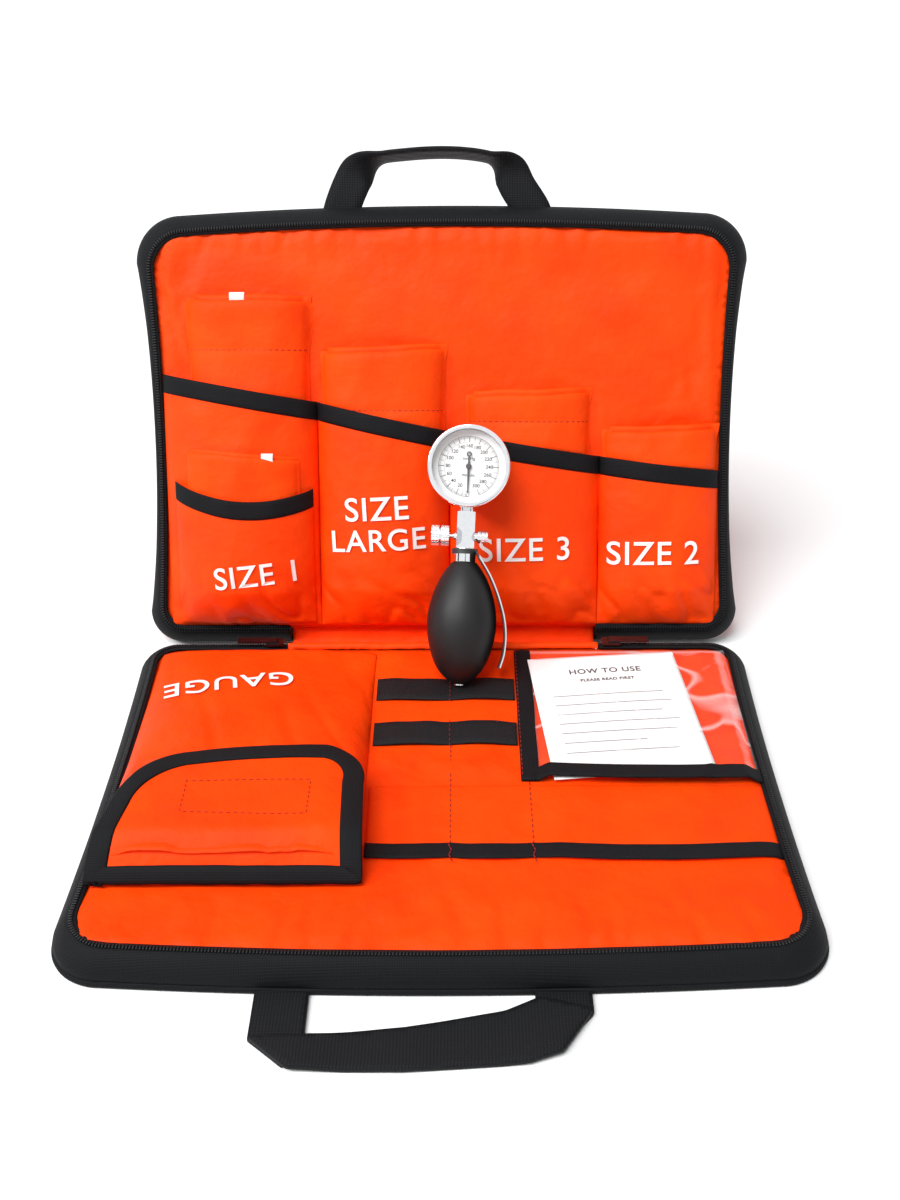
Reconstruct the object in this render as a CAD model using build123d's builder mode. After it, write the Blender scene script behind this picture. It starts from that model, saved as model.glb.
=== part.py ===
from build123d import *
import math
import os

# Blood pressure kit: a soft zip case opened like a book, with five arm cuffs in pockets and a
# palm gauge with its bulb. Millimetres. X is the width, +Y runs from the front edge to the
# hinge edge, +Z is up. The origin is the middle of the lower leaf's underside.

os.makedirs("parts", exist_ok=True)

# ---- driving dimensions -----------------------------------------------------------------
LEAF_W = 370.0  # width of each leaf at its outer binding
LEAF_D = 262.0  # depth of each leaf, hinge edge to free edge, at the corners
RIM_H = 17.0  # height of the gusset wall
COIL_H = 1.4  # zip coil on top of the gusset
FREE_CORNER_R = 28.0
HINGE_CORNER_R = 20.0
FREE_BULGE = 5.0  # the free edge bows out this much at its middle
LOWER_WAIST = 2.0  # how far the sides pull in at mid depth
UPPER_WAIST = 9.0
RIM_WAIST = 3.0  # the same at the top of the upper gusset
RIM_LEAN = 9.0  # the gusset leans inwards by this much at its top
HINGE_GAP = 20.0  # fabric between the two leaves' outer edges
LEAN = 66.7  # angle of the upper leaf above the table, degrees
SPINE_W = 190.0  # middle of the hinge edge that has no zip

PANEL_T = 1.2
BOARD_T = 2.0
FOAM_TOP = 15.3
LINING_TOP = 16.5
BAND_T = 1.2
WEBBING_W = 25.0
WEBBING_T = 2.5
BINDING_W = 10.0
GAP = 0.3  # least distance between pieces that move past each other

BACK_Y = LEAF_D / 2  # hinge edge of the lower leaf
HINGE_Y = BACK_Y + HINGE_GAP

# Each leaf is drawn on a plane whose x is the width, whose y runs from the hinge edge to the
# free edge and whose normal points into the case.
LOWER = Plane(origin=(0, BACK_Y, 0), x_dir=(-1, 0, 0), z_dir=(0, 0, 1))
LEAN_SIN = math.sin(math.radians(LEAN))
LEAN_COS = math.cos(math.radians(LEAN))
UPPER = Plane(origin=(0, HINGE_Y, 0), x_dir=(1, 0, 0), z_dir=(0, -LEAN_SIN, LEAN_COS))


def section(leaf, along):
    """Cross-section plane of a leaf: x is the width, y the height, and -z runs to the free edge."""
    return Plane(origin=leaf.from_local_coords((0, along, 0)), x_dir=leaf.x_dir, z_dir=-leaf.y_dir)


def save(part, name):
    """Label a finished piece and write its STEP file."""
    part.label = name
    export_step(part, "parts/" + name + ".step")


def leaf_outline(inset, waist):
    """Face of a leaf's plan shape, drawn in the current sketch."""
    half = LEAF_W / 2 - inset
    near = HINGE_CORNER_R - inset * 0.6
    far = FREE_CORNER_R - inset * 0.6
    top = LEAF_D - inset
    diag = math.sqrt(0.5)
    with BuildLine() as outline:
        Line((-half + near, inset), (half - near, inset))
        for side in (1, -1):
            ThreePointArc(
                (side * (half - near), inset),
                (side * (half - near + near * diag), inset + near - near * diag),
                (side * half, inset + near),
            )
            ThreePointArc(
                (side * half, inset + near),
                (side * (half - waist), LEAF_D / 2),
                (side * half, top - far),
            )
            ThreePointArc(
                (side * half, top - far),
                (side * (half - far + far * diag), top - far + far * diag),
                (side * (half - far), top),
            )
        ThreePointArc((half - far, top), (0, top + FREE_BULGE), (-half + far, top))
    make_face(outline.edges())


def slab(leaf, inset, bottom, top, waist):
    """Flat layer of a leaf between two heights."""
    with BuildPart() as layer:
        with BuildSketch(leaf.offset(bottom)):
            leaf_outline(inset, waist)
        extrude(amount=top - bottom)
    return layer.part


def ring(leaf, outer, inner, bottom, top, waist):
    """Flat band that follows a leaf's edge."""
    with BuildPart() as band:
        with BuildSketch(leaf.offset(bottom)):
            leaf_outline(outer, waist)
        extrude(amount=top - bottom)
        with BuildSketch(leaf.offset(bottom)):
            leaf_outline(inner, waist)
        extrude(amount=top - bottom, mode=Mode.SUBTRACT)
    return band.part


# ---- leaves -----------------------------------------------------------------------------
BEAD_H = 4.0  # bound seam round the outer panel
BEAD_W = 3.0
GUSSET_T = 2.0
COIL_W = 4.0
COIL_INSET = RIM_LEAN - 0.5


def leaf_shell(leaf, waist, rim_waist, prefix):
    """The layers and the rim that both leaves share."""
    save(slab(leaf, BEAD_W, 0, PANEL_T, waist), prefix + "_outer_panel")
    board_top = PANEL_T + BOARD_T
    save(slab(leaf, BEAD_W + 1, PANEL_T, board_top, waist), prefix + "_stiffener_board")
    lining_inset = RIM_LEAN + GUSSET_T + 0.5
    save(slab(leaf, lining_inset, board_top, FOAM_TOP, rim_waist), prefix + "_foam_pad")
    save(slab(leaf, lining_inset, FOAM_TOP, LINING_TOP, rim_waist), prefix + "_lining")
    save(ring(leaf, 0, BEAD_W, 0, BEAD_H, waist), prefix + "_edge_binding")

    with BuildPart() as gusset:
        for inset, mode in ((1.0, Mode.ADD), (1.0 + GUSSET_T, Mode.SUBTRACT)):
            with BuildSketch(leaf.offset(BEAD_H)):
                leaf_outline(inset, waist)
            with BuildSketch(leaf.offset(RIM_H)):
                leaf_outline(inset + RIM_LEAN - 1.0, rim_waist)
            loft(ruled=True, mode=mode)
        with BuildSketch(leaf.offset(BEAD_H)):
            with Locations((0, 0)):
                Rectangle(SPINE_W, 2 * (RIM_LEAN + GUSSET_T + 1))
        extrude(amount=RIM_H, mode=Mode.SUBTRACT)
    save(gusset.part, prefix + "_gusset")

    with BuildPart() as coil:
        add(ring(leaf, COIL_INSET, COIL_INSET + COIL_W, RIM_H, RIM_H + COIL_H, rim_waist))
        with BuildSketch(leaf.offset(RIM_H)):
            Rectangle(SPINE_W, 4 * COIL_INSET)
        extrude(amount=COIL_H, mode=Mode.SUBTRACT)
    save(coil.part, prefix + "_zip_coil")


leaf_shell(LOWER, LOWER_WAIST, LOWER_WAIST, "lower")
leaf_shell(UPPER, UPPER_WAIST, RIM_WAIST, "upper")

# ---- spine ------------------------------------------------------------------------------
# The middle of the hinge edge is one strip of shell fabric: it forms the lower leaf's wall,
# folds down to the table and runs to the upper leaf's seam. Its profile is in Y and Z.
SPINE_TOP_Y = BACK_Y - RIM_LEAN
SPINE_FOLD_Z = 5.0
with BuildPart() as spine_panel:
    with BuildSketch(Plane.YZ.offset(-SPINE_W / 2 + GAP)):
        with BuildLine():
            Polyline(
                (SPINE_TOP_Y - GUSSET_T, RIM_H),
                (SPINE_TOP_Y + 1.0, RIM_H + COIL_H),
                (BACK_Y + 1.0, SPINE_FOLD_Z),
                (HINGE_Y - 4.0, 1.2),
                (HINGE_Y - 1.5, 0.3),
                (BACK_Y + GAP, 0.3),
                (BACK_Y + GAP, BEAD_H),
                (BACK_Y - BEAD_W, BEAD_H + GAP),
                close=True,
            )
        make_face()
    extrude(amount=SPINE_W - 2 * GAP)
save(spine_panel.part, "spine_panel")


# ---- lower leaf: gauge pocket and its flap -----------------------------------------------
def lower_y(along):
    """Y of a point on the lower leaf at a distance from its hinge edge."""
    return BACK_Y - along


POCKET_X = (-169.5, -40.0)
POCKET_START = 19.0
POCKET_MOUTH = 205.0
POCKET_KNEE = 150.0
POCKET_LOW = 19.0  # height of the top sheet at the hinge end
POCKET_HIGH = 35.0  # height at the knee, and one more at the mouth
SHEET_T = 1.4

with BuildPart() as gauge_pocket:
    with BuildSketch(Plane.YZ.offset(POCKET_X[0])):
        with BuildLine():
            Polyline(
                (lower_y(POCKET_START), LINING_TOP),
                (lower_y(POCKET_START), POCKET_LOW),
                (lower_y(POCKET_KNEE), POCKET_HIGH),
                (lower_y(POCKET_MOUTH), POCKET_HIGH + 1),
                (lower_y(POCKET_MOUTH), LINING_TOP),
                close=True,
            )
        make_face()
    extrude(amount=POCKET_X[1] - POCKET_X[0])
    with BuildSketch(Plane.YZ.offset(POCKET_X[0] + SHEET_T)):
        with BuildLine():
            Polyline(
                (lower_y(POCKET_START + SHEET_T), LINING_TOP),
                (lower_y(POCKET_START + SHEET_T), POCKET_LOW - SHEET_T),
                (lower_y(POCKET_KNEE), POCKET_HIGH - SHEET_T),
                (lower_y(POCKET_MOUTH), POCKET_HIGH + 1 - SHEET_T),
                (lower_y(POCKET_MOUTH), LINING_TOP),
                close=True,
            )
        make_face()
    extrude(amount=POCKET_X[1] - POCKET_X[0] - 2 * SHEET_T, mode=Mode.SUBTRACT)
save(gauge_pocket.part, "gauge_pocket")

FLAP_X = (-172.0, -38.0)
FLAP_ROOT = 216.0  # distance of the flap's seam from the hinge edge
FLAP_TIP = 132.0
FLAP_T = 1.6
TRIM_T = 0.8
PATCH_X = (-131.0, -66.0)
PATCH_ALONG = (160.0, 187.0)
PATCH_T = 1.0


def pocket_top(along):
    """Height of the gauge pocket's top sheet between its knee and its mouth."""
    return POCKET_HIGH + (along - POCKET_KNEE) / (POCKET_MOUTH - POCKET_KNEE)


def flap_profile(low, high):
    """Closed strip between two heights above the flap's underside, in Y and Z."""
    heights = []
    for lift in (low, high):
        heights.append(
            [
                (lower_y(FLAP_ROOT - 1.6 + lift), 17.6),
                (lower_y(POCKET_MOUTH + 2.0 + lift * 0.8), pocket_top(POCKET_MOUTH + 2.0) + 2.5 + lift),
                (lower_y(POCKET_KNEE), pocket_top(POCKET_KNEE) + 2.5 + lift),
                (lower_y(FLAP_TIP - 1), pocket_top(POCKET_KNEE) + 0.5 + lift),
            ]
        )
    with BuildLine() as strip:
        Polyline(*heights[0], *reversed(heights[1]), close=True)
    make_face(strip.edges())


def flap_outline(inset):
    """The flap's plan shape: straight at its seam, rounded at its free end."""
    left = FLAP_X[0] + inset
    right = FLAP_X[1] - inset
    tip = lower_y(FLAP_TIP + inset)
    root = lower_y(FLAP_ROOT + 2 - inset)
    with BuildLine() as outline:
        Polyline(
            (left, root),
            (right, root),
            (right - 4, tip),
            (left + 40, tip),
            (left + 10, lower_y(178 - inset * 0.4)),
            close=True,
        )
    face = make_face(outline.edges())
    free_end = face.vertices().group_by(Axis.Y)[-1]
    fillet(free_end, radius=26 - inset)


with BuildPart() as flap_panel:
    with BuildSketch(Plane.YZ.offset(FLAP_X[0] - 1)):
        flap_profile(0, FLAP_T)
    extrude(amount=FLAP_X[1] - FLAP_X[0] + 2)
    with BuildSketch():
        flap_outline(0)
    extrude(amount=60, mode=Mode.INTERSECT)
save(flap_panel.part, "flap_panel")

with BuildPart() as flap_binding:
    with BuildSketch(Plane.YZ.offset(FLAP_X[0] - 1)):
        flap_profile(FLAP_T, FLAP_T + TRIM_T)
    extrude(amount=FLAP_X[1] - FLAP_X[0] + 2)
    with BuildSketch():
        flap_outline(0)
    extrude(amount=60, mode=Mode.INTERSECT)
    with BuildSketch(Plane.XY.offset(30)):
        flap_outline(BINDING_W)
    extrude(amount=30, mode=Mode.SUBTRACT)
save(flap_binding.part, "flap_binding")

# The two halves of the hook-and-loop fastener are strips that follow the pocket's top sheet.
for name, lift in (("loop_patch", 0.0), ("hook_patch", 1.5)):
    with BuildPart() as patch:
        with BuildSketch(Plane.YZ.offset(PATCH_X[0])):
            with BuildLine():
                Polyline(
                    (lower_y(PATCH_ALONG[0]), pocket_top(PATCH_ALONG[0]) + lift),
                    (lower_y(PATCH_ALONG[1]), pocket_top(PATCH_ALONG[1]) + lift),
                    (lower_y(PATCH_ALONG[1]), pocket_top(PATCH_ALONG[1]) + lift + PATCH_T),
                    (lower_y(PATCH_ALONG[0]), pocket_top(PATCH_ALONG[0]) + lift + PATCH_T),
                    close=True,
                )
            make_face()
        extrude(amount=PATCH_X[1] - PATCH_X[0])
    save(patch.part, name)


# ---- lower leaf: bands, tube pocket, clear pocket -----------------------------------------
def plate(x0, x1, near, far, bottom, top, mode=Mode.ADD):
    """Rectangular layer on the lower leaf, added to the current part."""
    with BuildSketch(Plane.XY.offset(bottom)) as layer:
        with Locations(((x0 + x1) / 2, lower_y((near + far) / 2))):
            Rectangle(x1 - x0, far - near)
    extrude(layer.sketch, amount=top - bottom, mode=mode)


BAND_X = (-38.0, 42.0)
BAND_STARTS = (45.5, 86.5)
BAND_DEPTH = 20.0
with BuildPart() as instrument_bands:
    for start in BAND_STARTS:
        plate(*BAND_X, start, start + BAND_DEPTH, LINING_TOP, LINING_TOP + BAND_T)
save(instrument_bands.part, "instrument_bands")

TUBE_POCKET_X = (-36.0, 169.5)
TUBE_POCKET_START = 140.0
TUBE_POCKET_MOUTH = 197.5
with BuildPart() as tube_pocket:
    plate(*TUBE_POCKET_X, TUBE_POCKET_START, TUBE_POCKET_MOUTH, LINING_TOP, LINING_TOP + BAND_T)
save(tube_pocket.part, "tube_pocket")

WINDOW_X = (52.5, 169.0)
WINDOW_START = 18.0
WINDOW_MOUTH = 137.5
LEAFLET_BOTTOM = 19.0
LEAFLET_T = 1.2
WINDOW_BOTTOM = LEAFLET_BOTTOM + LEAFLET_T + GAP
WINDOW_T = 0.6
with BuildPart() as clear_pocket_window:
    plate(*WINDOW_X, WINDOW_START, WINDOW_MOUTH - BINDING_W, WINDOW_BOTTOM, WINDOW_BOTTOM + WINDOW_T)
    plate(WINDOW_X[1] - WINDOW_T, WINDOW_X[1], WINDOW_START, WINDOW_MOUTH, LINING_TOP, WINDOW_BOTTOM)
save(clear_pocket_window.part, "clear_pocket_window")

BINDING_X = (43.0, 52.5)
TRIM_TOP = WINDOW_BOTTOM + 1.4
with BuildPart() as lower_pocket_bindings:
    trim_base = LINING_TOP + BAND_T
    plate(*TUBE_POCKET_X, TUBE_POCKET_MOUTH - BINDING_W, TUBE_POCKET_MOUTH, trim_base, trim_base + TRIM_T)
    plate(*BINDING_X, WINDOW_START, WINDOW_MOUTH, LINING_TOP, TRIM_TOP)
    plate(BINDING_X[0], WINDOW_X[1], WINDOW_MOUTH - BINDING_W, WINDOW_MOUTH, WINDOW_BOTTOM, TRIM_TOP)
save(lower_pocket_bindings.part, "lower_pocket_bindings")

LEAFLET_X = (54.0, 149.0)
LEAFLET_ALONG = (20.0, 136.0)
with BuildPart() as instruction_leaflet:
    plate(*LEAFLET_X, *LEAFLET_ALONG, LEAFLET_BOTTOM, LEAFLET_BOTTOM + LEAFLET_T)
save(instruction_leaflet.part, "instruction_leaflet")

# ---- zip sliders -------------------------------------------------------------------------
SLIDER_X = 97.0
SLIDER_L = 11.0
SLIDER_ALONG = (6.5, 13.5)
PULL_L = 24.0
coil_top = RIM_H + COIL_H
for side, name in ((-1, "zip_slider_left"), (1, "zip_slider_right")):
    with BuildPart() as slider:
        ends = sorted((side * SLIDER_X, side * (SLIDER_X + SLIDER_L)))
        plate(*ends, *SLIDER_ALONG, coil_top + GAP, coil_top + GAP + 1.4)
        plate(*ends, SLIDER_ALONG[0], SLIDER_ALONG[0] + 1.2, coil_top - 1.2, coil_top + GAP)
        pull = sorted((side * (SLIDER_X + 4), side * (SLIDER_X + 4 + PULL_L)))
        plate(*pull, 7.5, 12.5, coil_top + GAP + 1.4, coil_top + GAP + 2.6)
    save(slider.part, name)


# ---- handles -----------------------------------------------------------------------------
HANDLE_ROOT = LEAF_D + 6.0  # distance of the handle's fold from the hinge edge
LOWER_HANDLE_REACH = 40.0
HANDLE_MID = 1.75  # height of the webbing's middle over the outer panel's face

with BuildPart() as lower_handle:
    with BuildSketch(Plane.XY.offset(HANDLE_MID - WEBBING_T / 2)):
        root_y = lower_y(HANDLE_ROOT)
        end_y = root_y - LOWER_HANDLE_REACH
        with BuildLine():
            Polyline(
                (-84.5, root_y),
                (-84.5, root_y - 24),
                (-66, end_y),
                (40, end_y + 3),
                (55, end_y + 8),
                (70, root_y - 8),
                (70, root_y),
                (44, root_y),
                (30, root_y - 9),
                (-59.5, end_y + 17),
                (-59.5, root_y),
                close=True,
            )
        make_face()
    extrude(amount=WEBBING_T)
save(lower_handle.part, "lower_handle")

UPPER_STRAPS = (((-73.0, 0), (-49.0, 0), (-34.0, 24), (-58.0, 24)), ((45.0, 0), (69.0, 0), (55.0, 24), (31.0, 24)))
UPPER_BAR_REACH = 24.0
with BuildPart() as upper_handle:
    with BuildSketch(UPPER.offset(HANDLE_MID - WEBBING_T / 2)):
        for strap in UPPER_STRAPS:
            with BuildLine():
                Polyline(*[(x, HANDLE_ROOT + reach) for x, reach in strap], close=True)
            make_face()
    extrude(amount=WEBBING_T)
    bar_plane = section(UPPER, HANDLE_ROOT + UPPER_BAR_REACH)
    with BuildSketch(bar_plane):
        with Locations((-1.5, HANDLE_MID)):
            Rectangle(113, 18)
    extrude(amount=-WEBBING_T * 1.6)
save(upper_handle.part, "upper_handle")


# ---- upper leaf: cuff pockets -------------------------------------------------------------
def arch(x0, x1, base, rise):
    """Face under a low arch, drawn in the current cross-section sketch."""
    with BuildLine() as outline:
        ThreePointArc((x0, base), ((x0 + x1) / 2, base + rise), (x1, base))
        Line((x1, base), (x0, base))
    make_face(outline.edges())


POCKET_FOOT = 16.0  # where the cuff pockets start, from the hinge edge
MOUTH_LINE = ((-168.5, 167.5), (-76.0, 150.5), (4.5, 132.5), (95.5, 117.0), (168.5, 108.0))
CUFF_POCKETS = {
    "thigh_cuff_pocket": (-168.0, -76.0, 19.0),
    "large_adult_cuff_pocket": (-75.0, 4.0, 19.5),
    "adult_cuff_pocket": (5.0, 95.0, 19.5),
    "child_cuff_pocket": (96.0, 168.0, 17.0),
}
CLOTH_T = 1.2


def mouth_at(x):
    """Where the slanting mouth line of the cuff pockets stands at a given x."""
    for (xa, sa), (xb, sb) in zip(MOUTH_LINE, MOUTH_LINE[1:]):
        if x <= xb:
            return sa + (sb - sa) * (x - xa) / (xb - xa)
    return MOUTH_LINE[-1][1]


def slanted_strip(x0, x1, start_left, start_right, end_left, end_right):
    """Tall block over a strip of the upper leaf whose ends may slant."""
    with BuildSketch(UPPER) as strip:
        with BuildLine():
            Polyline((x0, start_left), (x1, start_right), (x1, end_right), (x0, end_left), close=True)
        make_face()
    extrude(strip.sketch, amount=70, mode=Mode.INTERSECT)


for name, (x0, x1, rise) in CUFF_POCKETS.items():
    with BuildPart() as pocket:
        with BuildSketch(section(UPPER, POCKET_FOOT)):
            arch(x0, x1, LINING_TOP, rise)
        extrude(amount=-160)
        with BuildSketch(section(UPPER, POCKET_FOOT + CLOTH_T)):
            arch(x0 + CLOTH_T, x1 - CLOTH_T, LINING_TOP, rise - CLOTH_T)
        extrude(amount=-160, mode=Mode.SUBTRACT)
        slanted_strip(x0 - 1, x1 + 1, 0, 0, mouth_at(x0 - 1), mouth_at(x1 + 1))
    save(pocket.part, name)

INFANT_X = (-160.5, -79.0)
INFANT_RISE = 28.0
INFANT_MOUTH = 98.0
thigh_x0, thigh_x1, thigh_rise = CUFF_POCKETS["thigh_cuff_pocket"]
with BuildPart() as infant_cuff_pocket:
    with BuildSketch(section(UPPER, POCKET_FOOT)):
        arch(*INFANT_X, LINING_TOP, INFANT_RISE)
    extrude(amount=POCKET_FOOT - INFANT_MOUTH)
    with BuildSketch(section(UPPER, POCKET_FOOT + CLOTH_T)):
        arch(INFANT_X[0] + CLOTH_T, INFANT_X[1] - CLOTH_T, LINING_TOP, INFANT_RISE - CLOTH_T)
    extrude(amount=POCKET_FOOT - INFANT_MOUTH, mode=Mode.SUBTRACT)
    with BuildSketch(section(UPPER, POCKET_FOOT)):
        arch(thigh_x0, thigh_x1, LINING_TOP, thigh_rise)
    extrude(amount=POCKET_FOOT - INFANT_MOUTH, mode=Mode.SUBTRACT)
save(infant_cuff_pocket.part, "infant_cuff_pocket")

with BuildPart() as thigh_pocket_block:
    with BuildSketch(section(UPPER, POCKET_FOOT)):
        arch(thigh_x0, thigh_x1, LINING_TOP, thigh_rise)
    extrude(amount=-160)


def binding_strip(x0, x1, rise, mouth_left, mouth_right):
    """Binding tape over the mouth edge of one pocket."""
    with BuildPart() as strip:
        with BuildSketch(section(UPPER, POCKET_FOOT)):
            arch(x0, x1, LINING_TOP, rise + TRIM_T)
        extrude(amount=-160)
        with BuildSketch(section(UPPER, POCKET_FOOT)):
            arch(x0, x1, LINING_TOP, rise)
        extrude(amount=-160, mode=Mode.SUBTRACT)
        slanted_strip(
            x0 - 1, x1 + 1, mouth_left - BINDING_W, mouth_right - BINDING_W, mouth_left, mouth_right
        )
    return strip.part


with BuildPart() as upper_pocket_bindings:
    for x0, x1, rise in CUFF_POCKETS.values():
        add(binding_strip(x0, x1, rise, mouth_at(x0 - 1), mouth_at(x1 + 1)))
    add(binding_strip(*INFANT_X, INFANT_RISE, INFANT_MOUTH, INFANT_MOUTH) - thigh_pocket_block.part)
save(upper_pocket_bindings.part, "upper_pocket_bindings")

# ---- cuffs -------------------------------------------------------------------------------
# Each folded cuff is a fabric cover round a rubber bladder. The cover clears the rim of the
# leaf, so that it can be pulled straight out of its pocket.
CUFF_BASE = RIM_H + COIL_H + GAP
CUFF_FOOT = 18.0
CUFFS = {
    "thigh_cuff": (-151.0, -80.5, 11.5, 214.0),
    "large_adult_cuff": (-71.0, 0.0, 15.3, 182.0),
    "adult_cuff": (15.0, 88.5, 15.3, 156.0),
    "child_cuff": (99.5, 164.5, 12.2, 134.0),
}
BLADDER_T = 5.0
for name, (x0, x1, rise, top) in CUFFS.items():
    middle = (x0 + x1) / 2
    width = (x1 - x0) * 0.5
    length = top - CUFF_FOOT - 24
    with BuildPart() as bladder:
        with BuildSketch(section(UPPER, CUFF_FOOT + 12)):
            with Locations((middle, CUFF_BASE + 2 + BLADDER_T / 2)):
                RectangleRounded(width, BLADDER_T, 2.0)
        extrude(amount=-length)
    with BuildPart() as cover:
        with BuildSketch(section(UPPER, CUFF_FOOT)):
            arch(x0, x1, CUFF_BASE, rise)
        extrude(amount=CUFF_FOOT - top)
        add(bladder.part, mode=Mode.SUBTRACT)
    save(cover.part, name + "_cover")
    save(bladder.part, name + "_bladder")

INFANT_CUFF_X = (-153.0, -86.0)
INFANT_CUFF_TOP = 123.0
with BuildPart() as infant_bladder:
    with BuildSketch(section(UPPER, CUFF_FOOT + 12)):
        with Locations((-120.5, LINING_TOP + thigh_rise + 3.6)):
            RectangleRounded(24, 2.4, 1.0)
    extrude(amount=-(INFANT_CUFF_TOP - CUFF_FOOT - 24))
with BuildPart() as infant_cover:
    with BuildSketch(section(UPPER, CUFF_FOOT)):
        arch(*INFANT_CUFF_X, LINING_TOP, INFANT_RISE - CLOTH_T - 0.8)
    extrude(amount=CUFF_FOOT - INFANT_CUFF_TOP)
    with BuildSketch(section(UPPER, CUFF_FOOT)):
        arch(thigh_x0 - 0.5, thigh_x1 + 0.5, LINING_TOP, thigh_rise + 1.2)
    extrude(amount=CUFF_FOOT - INFANT_CUFF_TOP, mode=Mode.SUBTRACT)
    add(infant_bladder.part, mode=Mode.SUBTRACT)
save(infant_cover.part, "infant_cuff_cover")
save(infant_bladder.part, "infant_cuff_bladder")

# ---- palm gauge ---------------------------------------------------------------------------
# The gauge stands on its bulb and leans on the pockets. Its plane has x to the side, y along
# the stem from the bulb's tip, and the dial's normal as z.
GAUGE_TIP = (9.7, BACK_Y - 54.4, 20.2)
GAUGE_LEAN = 9.8  # between the stem and the upper leaf, degrees
GAUGE_ROLL = 2.8  # the stem leans to the right, degrees
roll_sin = math.sin(math.radians(GAUGE_ROLL))
roll_cos = math.cos(math.radians(GAUGE_ROLL))
lean_sin = math.sin(math.radians(GAUGE_LEAN))
lean_cos = math.cos(math.radians(GAUGE_LEAN))
stem_dir = UPPER.x_dir * roll_sin + (UPPER.y_dir * lean_cos - UPPER.z_dir * lean_sin) * roll_cos
face_dir = UPPER.y_dir * lean_sin + UPPER.z_dir * lean_cos
GAUGE = Plane(origin=GAUGE_TIP, x_dir=stem_dir.cross(face_dir), z_dir=face_dir)
STEM_AXIS = Axis(GAUGE_TIP, stem_dir)


def across_stem(along):
    """Plane square to the stem at a distance from the bulb's tip."""
    return Plane(origin=GAUGE.from_local_coords((0, along, 0)), x_dir=GAUGE.x_dir, z_dir=stem_dir)


def across_valve(side):
    """Plane square to the valve and port axis at a distance from the stem's axis."""
    return Plane(origin=GAUGE.from_local_coords((side, VALVE_AT, 0)), x_dir=stem_dir, z_dir=GAUGE.x_dir)


def dial_plane(height):
    """Plane of the dial, centred on it, at a height along its normal."""
    return Plane(
        origin=GAUGE.from_local_coords((0, DIAL_AT, height)), x_dir=GAUGE.x_dir, z_dir=face_dir
    )


def disc(radius, low, high, mode=Mode.ADD):
    """Round layer of the gauge head, added to the current part."""
    with BuildSketch(dial_plane(low)) as layer:
        Circle(radius)
    extrude(layer.sketch, amount=high - low, mode=mode)


BULB_L = 71.0
BULB_MOUTH_R = 3.6
INLET_R = 3.2
COLLAR_R = 6.4
COLLAR_TOP = 79.5
BODY_TOP = 100.5
BODY_FLATS = 10.4
DIAL_AT = 126.5
VALVE_AT = 86.1
AIR_R = 1.5

with BuildPart() as bulb:
    with BuildSketch(GAUGE):
        with BuildLine():
            Spline(
                (INLET_R, 0), (8.0, 3.2), (12.8, 8.2), (17.7, 19.2), (20.2, 35.8),
                (17.4, 52.3), (12.6, 63.3), (7.0, BULB_L),
            )
            Line((7.0, BULB_L), (BULB_MOUTH_R, BULB_L))
            Line((BULB_MOUTH_R, BULB_L), (BULB_MOUTH_R, 66.0))
            Spline(
                (BULB_MOUTH_R, 66.0), (10.2, 61.5), (15.0, 52.0), (17.9, 35.8),
                (15.4, 20.2), (10.6, 10.2), (INLET_R, 4.6),
            )
            Line((INLET_R, 4.6), (INLET_R, 0))
        make_face()
    revolve(axis=STEM_AXIS)
save(bulb.part, "bulb")

with BuildPart() as inlet_valve:
    with BuildSketch(across_stem(-0.6)):
        Circle(INLET_R)
        Circle(0.8, mode=Mode.SUBTRACT)
    extrude(amount=5.0)
save(inlet_valve.part, "inlet_valve")

NEEDLE_R = 1.3
RUN_FIT = 0.06
GLAND_R = 2.4
CASE_R = 22.6
BEZEL_R = 24.0
BEZEL_BACK = 1.0
with BuildPart() as valve_body:
    with BuildSketch(across_stem(64.5)):
        Circle(BULB_MOUTH_R)
    extrude(amount=BULB_L - 64.5)
    with BuildSketch(across_stem(BULB_L)):
        Circle(COLLAR_R)
    extrude(amount=COLLAR_TOP - BULB_L)
    fillet(valve_body.edges().filter_by(GeomType.CIRCLE).group_by(SortBy.RADIUS)[-1], radius=0.6)
    with BuildSketch(across_stem(COLLAR_TOP)):
        RegularPolygon(BODY_FLATS / 2, 8, major_radius=False, rotation=22.5)
    extrude(amount=BODY_TOP - COLLAR_TOP)
    with BuildSketch(across_stem(BODY_TOP)):
        Circle(4.9)
    with BuildSketch(across_stem(BODY_TOP + 4.2)):
        Circle(3.8)
    loft()
    with BuildSketch(across_valve(-BODY_FLATS / 2 - 1.6)):
        Circle(GLAND_R)
    extrude(amount=3.0)
    with BuildSketch(across_stem(64.5)):
        Circle(AIR_R)
    extrude(amount=41, mode=Mode.SUBTRACT)
    with BuildSketch(across_valve(-BODY_FLATS / 2 - 1.6)):
        Circle(NEEDLE_R + RUN_FIT)
    extrude(amount=BODY_FLATS / 2 + 1.6, mode=Mode.SUBTRACT)
    with BuildSketch(across_valve(0)):
        Circle(AIR_R)
    extrude(amount=BODY_FLATS / 2 + 1, mode=Mode.SUBTRACT)
    disc(CASE_R, -15, 15, Mode.SUBTRACT)
    disc(BEZEL_R, BEZEL_BACK, 15, Mode.SUBTRACT)
save(valve_body.part, "valve_body")

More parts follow.
